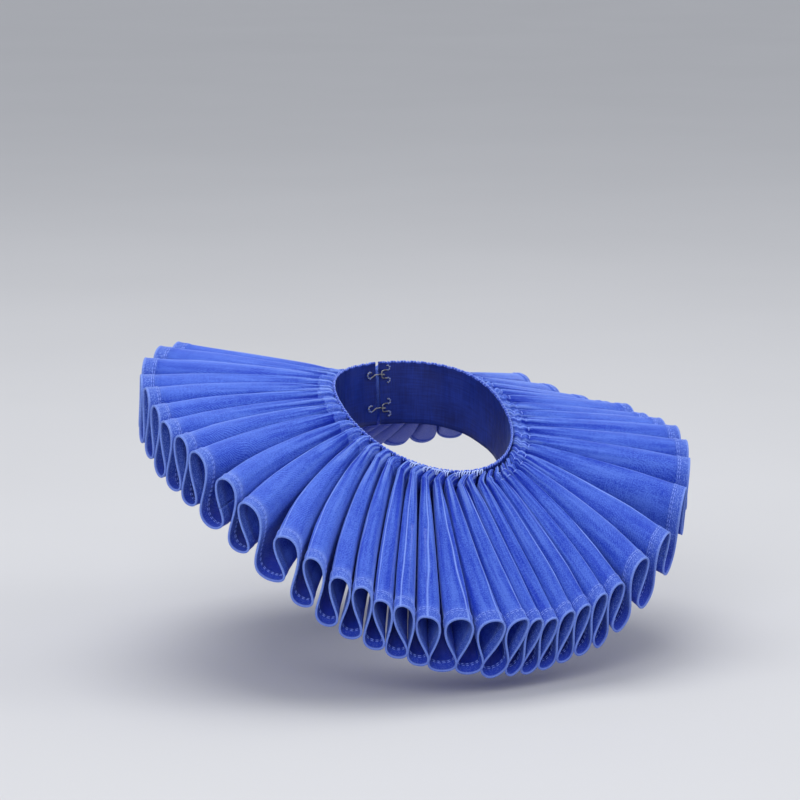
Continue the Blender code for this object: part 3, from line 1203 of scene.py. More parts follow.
@dataclass(frozen=True)
class WireFinish:
    """Dull drawn wire of the hooks and eyes."""

    name: str = "dull_wire"
    bright: tuple = (0.42, 0.42, 0.44, 1.0)
    dark: tuple = (0.16, 0.16, 0.18, 1.0)
    grain_scale: float = 1800.0

    def material(self) -> bpy.types.Material:
        """Builds the wire's material on Object coordinates.

        Returns:
            The material.
        """
        made, sketch, shader = start_material(self.name)
        grain = sketch.group(SharedGroups.grain(), Scale=self.grain_scale)
        worn = sketch.spread(grain.outputs["Fine"], 0.0, 1.0, 0.35, 0.7)
        sketch.plug(shader.inputs["Base Color"], sketch.blend(worn, self.dark, self.bright))
        sketch.plug(shader.inputs["Roughness"], sketch.spread(grain.outputs["Broad"], 0.26, 0.48))
        sketch.plug(shader.inputs["Normal"], sketch.bump(0.2, 0.03 * MM, grain.outputs["Fine"]))
        shader.inputs["Metallic"].default_value = 1.0
        return made


@dataclass(frozen=True)
class FloorFinish:
    """Plain pale studio floor."""

    name: str = "pale_floor"
    pale: tuple = (0.62, 0.62, 0.63, 1.0)
    shade: tuple = (0.58, 0.58, 0.59, 1.0)
    grain_scale: float = 40.0
    roughness: float = 0.85

    def material(self) -> bpy.types.Material:
        """Builds the floor's material.

        Returns:
            The material.
        """
        made, sketch, shader = start_material(self.name)
        grain = sketch.group(SharedGroups.grain(), Scale=self.grain_scale)
        colour = sketch.blend(grain.outputs["Broad"], self.pale, self.shade)
        sketch.plug(shader.inputs["Base Color"], colour)
        shader.inputs["Roughness"].default_value = self.roughness
        return made


def add_object(name: str, data: bpy.types.ID) -> bpy.types.Object:
    """Puts a mesh, curve, light or camera in the scene as an object at the origin.

    Args:
        name: the object's name.
        data: its data, in the row frame.

    Returns:
        The object.
    """
    made = bpy.data.objects.new(name, data)
    bpy.context.scene.collection.objects.link(made)
    return made


def plain_mesh(helper: bpy.types.Object, name: str) -> bpy.types.Mesh:
    """Keeps what a helper object evaluates to, and removes the helper.

    Args:
        helper: an object with a modifier, or a curve.
        name: the mesh's name.

    Returns:
        The mesh.
    """
    graph = bpy.context.evaluated_depsgraph_get()
    mesh = bpy.data.meshes.new_from_object(helper.evaluated_get(graph))
    bpy.data.objects.remove(helper)
    mesh.name = name
    return mesh


def add_places(mesh: bpy.types.Mesh, name: str, places: np.ndarray) -> None:
    """Adds a UV map to a grid's mesh.

    Args:
        mesh: the mesh.
        name: the map's name.
        places: UV of each point, as rows by columns by 2.
    """
    corners = np.zeros(len(mesh.loops), np.int32)
    mesh.loops.foreach_get("vertex_index", corners)
    layer = mesh.uv_layers.new(name=name)
    layer.data.foreach_set("uv", places.reshape(-1, 2)[corners].astype(np.float32).ravel())


def grid_mesh(
    name: str, grid: np.ndarray, places: np.ndarray, closed_rows: bool = False
) -> bpy.types.Mesh:
    """A smooth mesh through a grid of points.

    Args:
        name: the mesh's name.
        grid: points as rows by columns by 3; the faces look along rows x columns.
        places: UV of each point, in metres, as rows by columns by 2.
        closed_rows: joins the last row to the first and caps the two open ends.

    Returns:
        The mesh, with a UV map named cloth.
    """
    rows, columns = grid.shape[:2]
    number = np.arange(rows * columns).reshape(rows, columns)
    upper, lower = number[:-1], number[1:]
    if closed_rows:
        upper, lower = number, np.roll(number, -1, axis=0)
    faces = np.stack([upper[:, :-1], lower[:, :-1], lower[:, 1:], upper[:, 1:]], -1).reshape(-1, 4)
    sides = faces.tolist()
    if closed_rows:
        sides += [number[:, 0].tolist(), number[::-1, -1].tolist()]
    mesh = bpy.data.meshes.new(name)
    mesh.from_pydata(grid.reshape(-1, 3).tolist(), [], sides)
    add_places(mesh, "cloth", places)
    mesh.shade_smooth()
    mesh.update()
    return mesh


class SewingTrees:
    """Geometry Nodes trees for stitches, each built once."""

    @staticmethod
    def _start(name: str, sizes: dict[str, float]) -> tuple[bpy.types.Node, NodeSketch]:
        """A new tree with the inputs that all sewing has.

        Args:
            name: the tree's name.
            sizes: default values of its named sizes.

        Returns:
            The tree's input node and a sketch of the tree.
        """
        tree = bpy.data.node_groups.new(name, "GeometryNodeTree")
        face = tree.interface
        face.new_socket("Geometry", in_out="INPUT", socket_type="NodeSocketGeometry")
        for key, value in sizes.items():
            face.new_socket(key, in_out="INPUT", socket_type="NodeSocketFloat").default_value = value
        face.new_socket("Seed", in_out="INPUT", socket_type="NodeSocketInt")
        face.new_socket("Thread", in_out="INPUT", socket_type="NodeSocketMaterial")
        face.new_socket("Geometry", in_out="OUTPUT", socket_type="NodeSocketGeometry")
        return tree.nodes.new("NodeGroupInput"), NodeSketch(tree)

    @staticmethod
    def _uneven(
        sketch: NodeSketch, start: bpy.types.Node, low: float, high: float
    ) -> bpy.types.NodeSocket:
        """A random size for each instance, by the tree's seed.

        Args:
            sketch: the tree's sketch.
            start: its input node.
            low: the smallest size.
            high: the largest size.

        Returns:
            The size.
        """
        limits = {"Min": low, "Max": high, "Seed": start.outputs["Seed"]}
        made = sketch.node("FunctionNodeRandomValue", {"data_type": "FLOAT"}, **limits)
        return sketch.shown_output(made)

    @staticmethod
    def _end(sketch: NodeSketch, start: bpy.types.Node, **placed: object) -> bpy.types.NodeTree:
        """Places the instances, realizes them, gives them their thread and ends the tree.

        Args:
            sketch: the tree's sketch.
            start: its input node.
            placed: Points, Instance, Rotation and Scale of the instances.

        Returns:
            The tree.
        """
        instances = sketch.node("GeometryNodeInstanceOnPoints", **placed).outputs[0]
        real = sketch.node("GeometryNodeRealizeInstances", Geometry=instances)
        smooth = sketch.node("GeometryNodeSetShadeSmooth", Geometry=real.outputs[0]).outputs[0]
        thread = start.outputs["Thread"]
        dressed = sketch.node("GeometryNodeSetMaterial", Geometry=smooth, Material=thread)
        end = sketch.tree.nodes.new("NodeGroupOutput")
        sketch.tree.links.new(dressed.outputs[0], end.inputs["Geometry"])
        return sketch.tree

    @classmethod
    @cache
    def running(cls) -> bpy.types.NodeTree:
        """Short stitches in a row along a path.

        Returns:
            The tree, with inputs Pitch, Length and Radius.
        """
        sizes = {"Pitch": 3.4 * MM, "Length": 2.5 * MM, "Radius": 0.30 * MM}
        start, sketch = cls._start("running_stitch", sizes)
        path = sketch.node("GeometryNodeMeshToCurve", Mesh=start.outputs["Geometry"])
        spaced = sketch.node("GeometryNodeResampleCurve", {"mode": "LENGTH"}, Curve=path.outputs[0])
        sketch.plug(next(s for s in spaced.inputs if s.name == "Length"), start.outputs["Pitch"])
        ball = sketch.node("GeometryNodeMeshUVSphere", Segments=4, Rings=4, Radius=1.0)
        turn = sketch.node("FunctionNodeAlignRotationToVector", {"axis": "Z"})
        tangent = sketch.tree.nodes.new("GeometryNodeInputTangent")
        sketch.plug(turn.inputs["Vector"], tangent.outputs[0])
        (length,) = sketch.read(start, "Length")
        long = length * 0.5 * cls._uneven(sketch, start, 0.85, 1.1)
        radius = start.outputs["Radius"]
        return cls._end(
            sketch,
            start,
            Points=spaced.outputs[0],
            Instance=ball.outputs["Mesh"],
            Rotation=turn.outputs[0],
            Scale=sketch.node("ShaderNodeCombineXYZ", X=radius, Y=radius, Z=long).outputs[0],
        )

    @classmethod
    @cache
    def wrapped(cls) -> bpy.types.NodeTree:
        """Threads wrapped part of the way round, at points that carry an axis and an up direction.

        Returns:
            The tree, with inputs Turn, Bend and Radius.
        """
        sizes = {"Turn": math.radians(220), "Bend": 1.2 * MM, "Radius": 0.17 * MM}
        start, sketch = cls._start("wrapped_thread", sizes)
        (turned,) = sketch.read(start, "Turn")
        arc = sketch.node(
            "GeometryNodeCurveArc",
            Resolution=9,
            Radius=start.outputs["Bend"],
            Start_Angle=math.pi / 2 - turned * 0.5,
            Sweep_Angle=turned,
        ).outputs[0]
        radius = start.outputs["Radius"]
        ring = sketch.node("GeometryNodeCurvePrimitiveCircle", Resolution=5, Radius=radius).outputs[0]
        tube = sketch.node("GeometryNodeCurveToMesh", Curve=arc, Profile_Curve=ring, Fill_Caps=True)
        vectors = {"data_type": "FLOAT_VECTOR"}
        axis, up = (
            sketch.shown_output(sketch.node("GeometryNodeInputNamedAttribute", vectors, Name=name))
            for name in ("axis", "up")
        )
        axes = {"primary_axis": "Z", "secondary_axis": "Y"}
        turn = sketch.node("FunctionNodeAxesToRotation", axes, Primary_Axis=axis, Secondary_Axis=up)
        return cls._end(
            sketch,
            start,
            Points=start.outputs["Geometry"],
            Instance=tube.outputs[0],
            Rotation=turn.outputs[0],
            Scale=cls._uneven(sketch, start, 0.9, 1.08),
        )


@dataclass
class Seamstress:
    """Sews rows of stitches with the Geometry Nodes trees."""

    thread: bpy.types.Material

    def finish(
        self,
        name: str,
        carrier: bpy.types.Mesh,
        tree: bpy.types.NodeTree,
        sizes: dict[str, float],
        seed: int,
    ) -> bpy.types.Object:
        """Runs a tree on a carrier mesh and keeps the result as a plain mesh.

        Args:
            name: the new object's name.
            carrier: path or points for the tree.
            tree: the Geometry Nodes tree.
            sizes: values of its inputs, by name.
            seed: its seed.

        Returns:
            The sewn object.
        """
        helper = add_object(name + "_path", carrier)
        modifier = helper.modifiers.new("Sewing", "NODES")
        modifier.node_group = tree
        values = {**sizes, "Seed": seed, "Thread": self.thread}
        for item in tree.interface.items_tree:
            if item.item_type == "SOCKET" and item.in_out == "INPUT" and item.name in values:
                modifier[item.identifier] = values[item.name]
        bpy.context.view_layer.update()
        made = add_object(name, plain_mesh(helper, name))
        if not made.data.materials:
            made.data.materials.append(self.thread)
        return made

    def running_row(self, name: str, paths: list[np.ndarray], seed: int) -> bpy.types.Object:
        """Rows of running stitches.

        Args:
            name: the new object's name.
            paths: lines of points, one for each row.
            seed: the tree's seed.

        Returns:
            The sewn object.
        """
        points, edges = [], []
        for path in paths:
            first = len(points)
            points += path.tolist()
            edges += [(number, number + 1) for number in range(first, len(points) - 1)]
        mesh = bpy.data.meshes.new(name + "_path")
        mesh.from_pydata(points, edges, [])
        return self.finish(name, mesh, SewingTrees.running(), {}, seed)

    def wraps(
        self,
        name: str,
        points: np.ndarray,
        axes: np.ndarray,
        ups: np.ndarray,
        sizes: dict[str, float],
        seed: int,
    ) -> bpy.types.Object:
        """Threads wrapped round an edge at each point.

        Args:
            name: the new object's name.
            points: middles of the wraps.
            axes: the edge's direction at each point.
            ups: direction in which each thread shows most.
            sizes: values of the tree's inputs.
            seed: the tree's seed.

        Returns:
            The sewn object.
        """
        mesh = bpy.data.meshes.new(name + "_points")
        mesh.from_pydata(points.tolist(), [], [])
        for key, values in (("axis", unit(axes)), ("up", unit(ups))):
            layer = mesh.attributes.new(key, "FLOAT_VECTOR", "POINT")
            layer.data.foreach_set("vector", values.astype(np.float32).ravel())
        return self.finish(name, mesh, SewingTrees.wrapped(), sizes, seed)


@dataclass
class Frill:
    """The pleated strip: widths of thin cloth with a turned hem, and the hem's stitching."""

    sizes: CollarSizes
    form: PleatedForm
    cloth: bpy.types.Material
    seamstress: Seamstress
    columns_per_pleat: int = 80
    top_density: float = 0.6
    end_margin: float = 0.03
    stitch_rows: tuple = (0.9 * MM, 2.3 * MM)
    stitch_rise: float = 0.05 * MM
    under_sink: float = 0.27 * MM
    creases: CreaseMarks = field(init=False)

    def __post_init__(self) -> None:
        """Places the creases."""
        self.creases = CreaseMarks(self.form)

    def row_distances(self) -> np.ndarray:
        """Distances of the rows of points, closer together where the cloth is turned.

        Returns:
            Distances from the neck edge, from just inside it to the outer edge.
        """
        sizes = self.sizes
        turning, hem = sizes.neck_turning, sizes.frill_depth - sizes.hem_width
        step = 0.15 * MM
        runs = (
            np.linspace(-0.3 * MM, turning - step, 10),
            np.linspace(turning + step, 16 * MM, 6),
            np.linspace(20 * MM, 28 * MM, 3),
            np.linspace(36 * MM, 108 * MM, 7),
            np.linspace(114 * MM, hem - step, 2),
            np.linspace(hem + step, sizes.frill_depth - sizes.hem_rim, 3),
            sizes.frill_depth - sizes.hem_rim * np.array([0.6, 0.25, 0.0]),
        )
        return np.concatenate(runs)

    def width_phases(self, number: int) -> np.ndarray:
        """Phases of the columns of one width of cloth.

        Args:
            number: which width, from 0.

        Returns:
            Phases from the width's first edge to its last.
        """
        sizes = self.sizes
        last_column = len(PLEATS) * sizes.solid_columns
        ends = []
        for place in (number, number + 1):
            column = int(place * sizes.pleats_per_width * sizes.solid_columns)
            joined = 0 < column < last_column
            ends.append(column + (sizes.solid_columns // 4 if joined else 0))
        first, last = (-math.pi + column * 2 * math.pi / sizes.solid_columns for column in ends)
        across = np.linspace(-1.0, 1.0, self.columns_per_pleat + 1)[:-1]
        pleat = math.pi * across * (self.top_density + (1 - self.top_density) * across**2)
        phases = (2 * math.pi * self.form.stations[:, None] + pleat).ravel()
        inside = phases[(phases > first + self.end_margin) & (phases < last - self.end_margin)]
        return np.concatenate([[first], inside, [last]])

    def creased_points(self, phase: np.ndarray, distance: np.ndarray) -> tuple[np.ndarray, np.ndarray]:
        """Middle of the cloth with its creases.

        Args:
            phase: phase of each column.
            distance: distance of each row.

        Returns:
            Points and normals, as rows by columns by 3.
        """
        plain = self.form.points(phase, distance)
        normals = surface_normals(plain)
        grid = plain + normals * self.creases.heights(phase, distance)[..., None]
        return grid, surface_normals(grid)

    def wall_shares(self, distance: np.ndarray) -> np.ndarray:
        """Thickness of each row as a share of the hem rim's.

        Args:
            distance: distance of each row from the neck edge.

        Returns:
            Shares from 0 to 1.
        """
        sizes = self.sizes
        wall = np.full(len(distance), sizes.single_wall)
        wall[distance < sizes.neck_turning] = sizes.turned_wall
        wall[distance > sizes.frill_depth - sizes.hem_width] = sizes.hem_wall
        wall[distance > sizes.frill_depth - 0.8 * sizes.hem_rim] = sizes.rim_wall
        wall[-1] = 0.75 * sizes.rim_wall
        return wall / sizes.rim_wall

    def build_width(self, number: int) -> bpy.types.Object:
        """One width of cloth as a thin closed shell.

        Args:
            number: which width, from 0.

        Returns:
            Its object, before any frame call.
        """
        phase, distance = self.width_phases(number), self.row_distances()
        grid, _ = self.creased_points(phase, distance)
        for end, inner in ((0, 1), (-1, -2)):
            grid[:, end] += unit(grid[:, inner] - grid[:, end]) * (self.sizes.seam_gap / 2)
        name = "frill_cloth_%d" % (number + 1)
        mesh = grid_mesh(name, grid, np.stack(np.meshgrid(arc_lengths(grid[-1]), distance), -1))
        add_places(mesh, "folds", np.stack(np.meshgrid(phase / (2 * math.pi), distance), -1))
        made = add_object(name, mesh)
        made.data.materials.append(self.cloth)
        group = made.vertex_groups.new(name="wall")
        columns = len(phase)
        for row, share in enumerate(self.wall_shares(distance)):
            group.add(list(range(row * columns, (row + 1) * columns)), float(share), "REPLACE")
        wall = made.modifiers.new("Wall", "SOLIDIFY")
        wall.thickness = self.sizes.rim_wall
        wall.offset = 0.0
        wall.use_quality_normals = True
        wall.vertex_group = group.name
        return made

    def sew_hem(self, number: int) -> bpy.types.Object:
        """The hem's topstitching on one width, on both faces.

        Args:
            number: which width, from 0.

        Returns:
            The stitches.
        """
        phase = self.width_phases(number)
        hem = self.sizes.frill_depth - self.sizes.hem_width
        lift = self.sizes.hem_wall / 2 + self.stitch_rise
        paths = []
        for inset in self.stitch_rows:
            rows = hem + inset + np.array([-0.2, 0.0, 0.2]) * MM
            grid, normals = self.creased_points(phase, rows)
            for face in ClothFace:
                rise = lift if face is ClothFace.TOP else lift - self.under_sink
                paths.append((grid[1] + normals[1] * rise * face.value)[1:-1])
        return self.seamstress.running_row("hem_stitches_%d" % (number + 1), paths, seed=number)

    def build(self) -> None:
        """All widths with their hems, riding on the frame."""
        for number in range(self.sizes.widths):
            cloth, stitches = self.build_width(number), self.sew_hem(number)
            for piece in (cloth, stitches):
                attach(piece, ROOT_BODY)
            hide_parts("frill_%d" % (number + 1))
            strip = self.form.points(self.width_phases(number), np.array([self.sizes.frill_depth]))[0]
            flat = (self.sizes.frill_depth, float(arc_lengths(strip)[-1]))
            faces = len(stitches.data.polygons)
            LOG.info("%s: %.0f mm long, %d faces of stitches", cloth.name, flat[1] / MM, faces)


@dataclass
class NeckBand:
    """The ribbon that the pleats' ends are sewn to, with its rolled top edge and its sewing."""

    sizes: CollarSizes
    form: PleatedForm
    finish: RibbonFinish
    seamstress: Seamstress
    satin: bpy.types.Material
    clearance: float = 0.45 * MM
    wall: float = 1.1 * MM
    height: float = 44.0 * MM
    rise: float = 0.1 * MM
    roll: float = 0.85 * MM
    roll_out: float = 0.30 * MM
    roll_lump: float = 0.8 * MM
    wave: float = 0.25 * MM
    wall_lump: float = 0.12 * MM
    end_gap: float = 1.5 * MM
    columns: int = 624
    thread_turn: float = math.radians(220)
    threads_per_pleat: int = 3
    thread_radius: float = 0.34 * MM
    thread_lean: tuple = (0.9, 1.5)
    satin_from: float = math.radians(-40.0)
    satin_to: float = math.radians(9.0)
    satin_pitch: float = 1.6 * MM
    satin_share: float = 0.70
    satin_shift: float = 0.4
    satin_reach: float = 1.6 * MM
    satin_radius: float = 0.44 * MM
    satin_lean: tuple = (0.9, 2.4)
    tack_bend: float = 1.3 * MM
    tack_rise: float = 0.30 * MM
    tack_turn: float = math.radians(200)
    tack_radius: float = 0.32 * MM
    tack_side: float = math.radians(50)

    ROLL_ANGLES = tuple(range(200, -21, -20))

    def frame_at(self, azimuth: np.ndarray) -> tuple[np.ndarray, np.ndarray, np.ndarray]:
        """The band's own directions.

        Args:
            azimuth: angles from the front, in radians.

        Returns:
            Points at the pleats' top ends, and unit vectors across the band and down it.
        """
        slopes = self.form.column("slope")
        slope = np.radians(np.interp(azimuth, self.form.neck_azimuths(), slopes))
        outward, _ = self.form.around(azimuth)
        tip = (slope * self.sizes.neck_shear)[:, None]
        down = np.sin(tip) * outward - np.cos(tip) * UP
        across = np.cos(tip) * outward + np.sin(tip) * UP
        return self.form.neck_ring(azimuth, self.sizes.neck_radius), across, down

    def profile(self) -> np.ndarray:
        """Section of the ribbon, as (across, down, roll share) from the pleats' top ends.

        Returns:
            One row for each point, from the inner bottom edge round the roll to the outer one.
        """
        half = self.wall / 2
        middle = -(self.clearance + half)
        bottom = self.height - self.rise
        inner = [(middle - half, down, 0.0) for down in np.linspace(bottom, 3 * MM, 12)]
        outer = [(middle + half, down, 0.0) for down in np.linspace(3 * MM, bottom, 12)]
        centre = middle + self.roll_out
        roll = [
            (centre + self.roll * math.cos(angle), -self.rise - self.roll * math.sin(angle), 1.0)
            for angle in np.radians(self.ROLL_ANGLES)
        ]
        return np.array(inner + roll + outer)

    def build_ribbon(self) -> bpy.types.Object:
        """The ribbon as one closed band, lumpy where the pleats push against it.

        Returns:
            Its object, before any frame call.
        """
        half_gap = self.end_gap / self.sizes.neck_radius
        azimuth = np.linspace(-math.pi + half_gap, math.pi - half_gap, self.columns + 1)
        start, across, down = self.frame_at(azimuth)
        station = np.interp(azimuth, self.form.neck_azimuths(), self.form.stations)
        lump = 0.5 + 0.5 * np.cos(2 * math.pi * station)
        wave = self.wave * (wander(station, 2.1) + wander(station, 0.83, 1.0))
        profile = self.profile()
        rows = []
        for out, drop, rolled in profile:
            swell = rolled * (lump - 0.5) * self.roll_lump
            sag = (1 - rolled) * (wave + self.wall_lump * lump)
            rows.append(start + across * (out + sag)[:, None] + down * (drop - swell)[:, None])
        grid = np.stack(rows)
        along_profile = arc_lengths(profile[:, :2])
        places = np.stack(np.meshgrid(azimuth * self.sizes.neck_radius, along_profile), -1)
        mesh = grid_mesh("neck_band_ribbon", grid, places, closed_rows=True)
        made = add_object("neck_band_ribbon", mesh)
        first = len(profile) // 2 - len(self.ROLL_ANGLES) // 2
        last = first + len(self.ROLL_ANGLES) - 1
        roll = (float(along_profile[first]), float(along_profile[last]))
        made.data.materials.append(self.finish.material(roll))
        return made

    def sew_roll(
        self, name: str, azimuth: np.ndarray, radius: float, lean: np.ndarray, reach: float = 0.0
    ) -> bpy.types.Object:
        """Overcast threads that hold the rolled edge on the pleats.

        Args:
            name: the new object's name.
            azimuth: where the threads are.
            radius: radius of one thread.
            lean: how far each thread leans, as a share of its length.
            reach: how far past the roll and down each thread goes, over the pleats.

        Returns:
            The threads.
        """
        start, across, down = self.frame_at(azimuth)
        middle = -(self.clearance + self.wall / 2) + self.roll_out
        points = start + across * (middle + reach) - down * (self.rise - reach)
        axes = np.cross(across, down) + across * lean[:, None]
        bend = self.roll + radius * 0.8 + reach / 2
        sizes = {"Bend": bend, "Turn": self.thread_turn, "Radius": radius}
        return self.seamstress.wraps(name, points, axes, across * 0.7 - down, sizes, seed=3)

    def overcast(self) -> list[bpy.types.Object]:
        """Overcast threads all round, and thicker satin ones over the front tabs.

        Returns:
            The two rows of threads.
        """
        station = np.arange(1, self.threads_per_pleat * len(PLEATS)) / self.threads_per_pleat - 0.5
        azimuth = np.interp(station, self.form.stations, self.form.neck_azimuths())
        chance = np.random.default_rng(5)
        lean = chance.uniform(*self.thread_lean, len(azimuth))
        plain = self.sew_roll("roll_threads", azimuth, self.thread_radius, lean)
        pitch = self.satin_pitch / self.sizes.neck_radius
        front = np.arange(self.satin_from, self.satin_to, pitch)
        front = front[chance.random(len(front)) < self.satin_share]
        front = front + chance.uniform(-self.satin_shift, self.satin_shift, len(front)) * pitch
        lean = chance.uniform(*self.satin_lean, len(front))
        satin = self.sew_roll("satin_threads", front, self.satin_radius, lean, self.satin_reach)
        # The satin threads' near-white colour is partly a painted highlight.
        satin.data.materials.clear()
        satin.data.materials.append(self.satin)
        return [plain, satin]

    def sew_tacks(self, frill: Frill) -> bpy.types.Object:
        """Threads drawn over each pleat near the neck, in two rows.

        Args:
            frill: the frill, for its surface.

        Returns:
            The tacks.
        """
        points, axes, ups = [], [], []
        tacked = self.form.neck_azimuths() > self.sizes.tacks_from + 0.1
        tops = 2 * math.pi * self.form.stations[tacked]
        for distance in self.sizes.tack_rows:
            rows = distance + np.array([-0.3, 0.0, 0.3]) * MM
            left, _ = frill.creased_points(tops - self.tack_side, rows)
            right, _ = frill.creased_points(tops + self.tack_side, rows)
            crest, normals = frill.creased_points(np.sort(np.concatenate([tops, tops + 0.05])), rows)
            points.append(crest[1, ::2] - normals[1, ::2] * self.tack_bend)
            axes.append(left[2] - left[0] + right[2] - right[0])
            ups.append(normals[1, ::2])
        points, axes, ups = (np.concatenate(part) for part in (points, axes, ups))
        bend = self.tack_bend + self.tack_rise
        sizes = {"Bend": bend, "Turn": self.tack_turn, "Radius": self.tack_radius}
        return self.seamstress.wraps("pleat_tacks", points, axes, ups, sizes, seed=5)

    def build(self) -> None:
        """The ribbon, riding on the frame."""
        ribbon = self.build_ribbon()
        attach(ribbon, ROOT_BODY)
        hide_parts("neck_band")
        around_neck = 2 * math.pi * (self.sizes.neck_radius - self.clearance) - self.end_gap * 2
        LOG.info("neck band: %.0f mm round, %d faces", around_neck / MM, len(ribbon.data.polygons))

    def sew(self, frill: Frill) -> None:
        """The threads at the neck, riding on the frame.

        Args:
            frill: the frill, for its surface.
        """
        for piece in (*self.overcast(), self.sew_tacks(frill)):
            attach(piece, ROOT_BODY)
            LOG.info("%s: %d faces", piece.name, len(piece.data.polygons))


@dataclass
class Fastenings:
    """Two wire hooks and eyes on the band's inner face at the centre back."""

    sizes: CollarSizes
    form: PleatedForm
    wire: bpy.types.Material
    seamstress: Seamstress
    wire_radius: float = 0.45 * MM
    lift: float = 0.95 * MM
    bend_rise: float = 2.6 * MM
    depths: tuple = (9.0 * MM, 33.0 * MM)
    band_rise: float = 1.4 * MM
    inset: float = 1.65 * MM
    hook_loop: tuple = ((-7.4, 0.0), 2.2)
    eye_loop: tuple = ((7.6, 4.4), 1.7)
    eye_loop_below: tuple = ((7.6, -4.4), 1.7)
    thread_rise: float = 0.15 * MM
    thread_turn: float = math.radians(250)

    def arc(self, middle: tuple, radius: float, start: float, end: float, steps: int) -> np.ndarray:
        """Points of an arc in the plane of the band's face, in millimetres.

        Args:
            middle: centre as (along, up).
            radius: radius.
            start: first angle, in degrees.
            end: last angle, in degrees.
            steps: number of points.

        Returns:
            One (along, up) row for each point.
        """
        angles = np.radians(np.linspace(start, end, steps))
        return np.stack([middle[0] + radius * np.cos(angles), middle[1] + radius * np.sin(angles)], -1)

    def lifted(self, flat: np.ndarray) -> np.ndarray:
        """A flat line in millimetres, raised to the wire's height over the band."""
        return np.concatenate([flat, np.full((len(flat), 1), self.lift / MM)], axis=1)

    def hook_path(self) -> np.ndarray:
        """The hook's line, with its open loop at the sewn end.

        Returns:
            Points as (along, up, off), in metres.
        """
        lift, rise = self.lift / MM, self.bend_rise / MM
        loop = self.arc(*self.hook_loop, 50.0, 310.0, 25)
        shank = np.array([(-4.4, -1.0), (-3.4, -0.3), (-2.2, 0.0), (3.0, 0.0)])
        flat = self.lifted(np.concatenate([loop, shank]))
        angles = np.radians(np.linspace(-60.0, 90.0, 14))
        along, off = 3.0 + rise / 2 * np.cos(angles), lift + rise / 2 * (1 + np.sin(angles))
        bend = np.stack([along, 0 * angles, off], -1)
        return np.concatenate([flat, bend, [(0.4, 0.0, lift + rise + 0.1)]]) * MM

    def eye_path(self) -> np.ndarray:
        """The eye's line: a bar held by the hook and two legs back to open loops.

        Returns:
            Points as (along, up, off), in metres.
        """
        low = self.lift / MM
        lift = low + self.bend_rise / MM / 2
        bar = [(2.0, 0.0, lift), (2.0, 1.4, lift), (2.15, 2.1, lift), (2.6, 2.5, lift)]
        leg = [(4.2, 2.9, lift - 0.5), (5.4, 2.9, low)]
        half = np.concatenate([bar + leg, self.lifted(self.arc(*self.eye_loop, 235.0, 475.0, 20))])
        mirrored = half[:0:-1] * np.array([1.0, -1.0, 1.0])
        return np.concatenate([mirrored, half]) * MM

    def on_band(self, path: np.ndarray, depth: float) -> np.ndarray:
        """Places a line on the band's inner face.

        Args:
            path: points as (along, up, off).
            depth: distance down from the band's top edge.

        Returns:
            Points in the row frame.
        """
        slopes = self.form.column("slope")
        slope = math.radians((slopes[0] + slopes[-1]) / 2) * self.sizes.neck_shear
        azimuth = math.pi - path[:, 0] / (self.sizes.neck_radius - self.inset)
        outward, _ = self.form.around(azimuth)
        top = self.form.neck_ring(azimuth, self.sizes.neck_radius)
        drop = (depth - self.band_rise - path[:, 1])[:, None]
        inwards = (self.inset + path[:, 2])[:, None]
        lean = math.sin(slope) * (drop + self.band_rise)
        return top - outward * inwards - UP * drop + outward * lean

    def bend_wire(self, name: str, path: np.ndarray) -> bpy.types.Object:
        """A round wire along a path.

        Args:
            name: the object's name.
            path: points in the row frame.

        Returns:
            The wire as a mesh object.
        """
        curve = bpy.data.curves.new(name + "_line", "CURVE")
        curve.dimensions = "3D"
        curve.bevel_depth = self.wire_radius
        curve.bevel_resolution = 3
        curve.use_fill_caps = True
        spline = curve.splines.new("POLY")
        spline.points.add(len(path) - 1)
        for point, place in zip(spline.points, path):
            point.co = (*place, 1.0)
        mesh = plain_mesh(add_object(name + "_line", curve), name)
        mesh.shade_smooth()
        mesh.materials.clear()
        mesh.materials.append(self.wire)
        return add_object(name, mesh)

    def sewn_points(self, depth: float) -> tuple[np.ndarray, np.ndarray, np.ndarray]:
        """Where threads hold the loops of one hook and eye.

        Args:
            depth: distance down from the band's top edge.

        Returns:
            Points, directions of the wire there and directions off the band.
        """
        lines = (
            self.arc(*self.hook_loop, 90.0, 270.0, 5),
            self.arc(*self.eye_loop, 270.0, 440.0, 4),
            self.arc(*self.eye_loop_below, -80.0, 90.0, 4),
        )
        points, axes, ups = [], [], []
        for line in lines:
            flat = self.lifted(line) * MM
            place = self.on_band(flat, depth)
            points.append(place)
            axes.append(np.gradient(place, axis=0))
            ups.append(self.on_band(flat + UP * MM, depth) - place)
        return np.concatenate(points), np.concatenate(axes), np.concatenate(ups)

    def build(self) -> None:
        """The hooks and eyes with the threads that hold them, riding on the frame."""
        parts = []
        for number, depth in enumerate(self.depths, start=1):
            for kind, path in (("hook", self.hook_path()), ("eye", self.eye_path())):
                wire = self.bend_wire("wire_%s_%d" % (kind, number), self.on_band(path, depth))
                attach(wire, ROOT_BODY)
                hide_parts("%s_%d" % (kind, number))
            parts.append(self.sewn_points(depth))
        points, axes, ups = (np.concatenate(column) for column in zip(*parts))
        sizes = {"Bend": self.wire_radius + self.thread_rise, "Turn": self.thread_turn}
        threads = self.seamstress.wraps("hook_threads", points, axes, ups, sizes, seed=7)
        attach(threads, ROOT_BODY)
        LOG.info("fastenings: %d hooks and eyes", 2 * len(self.depths))


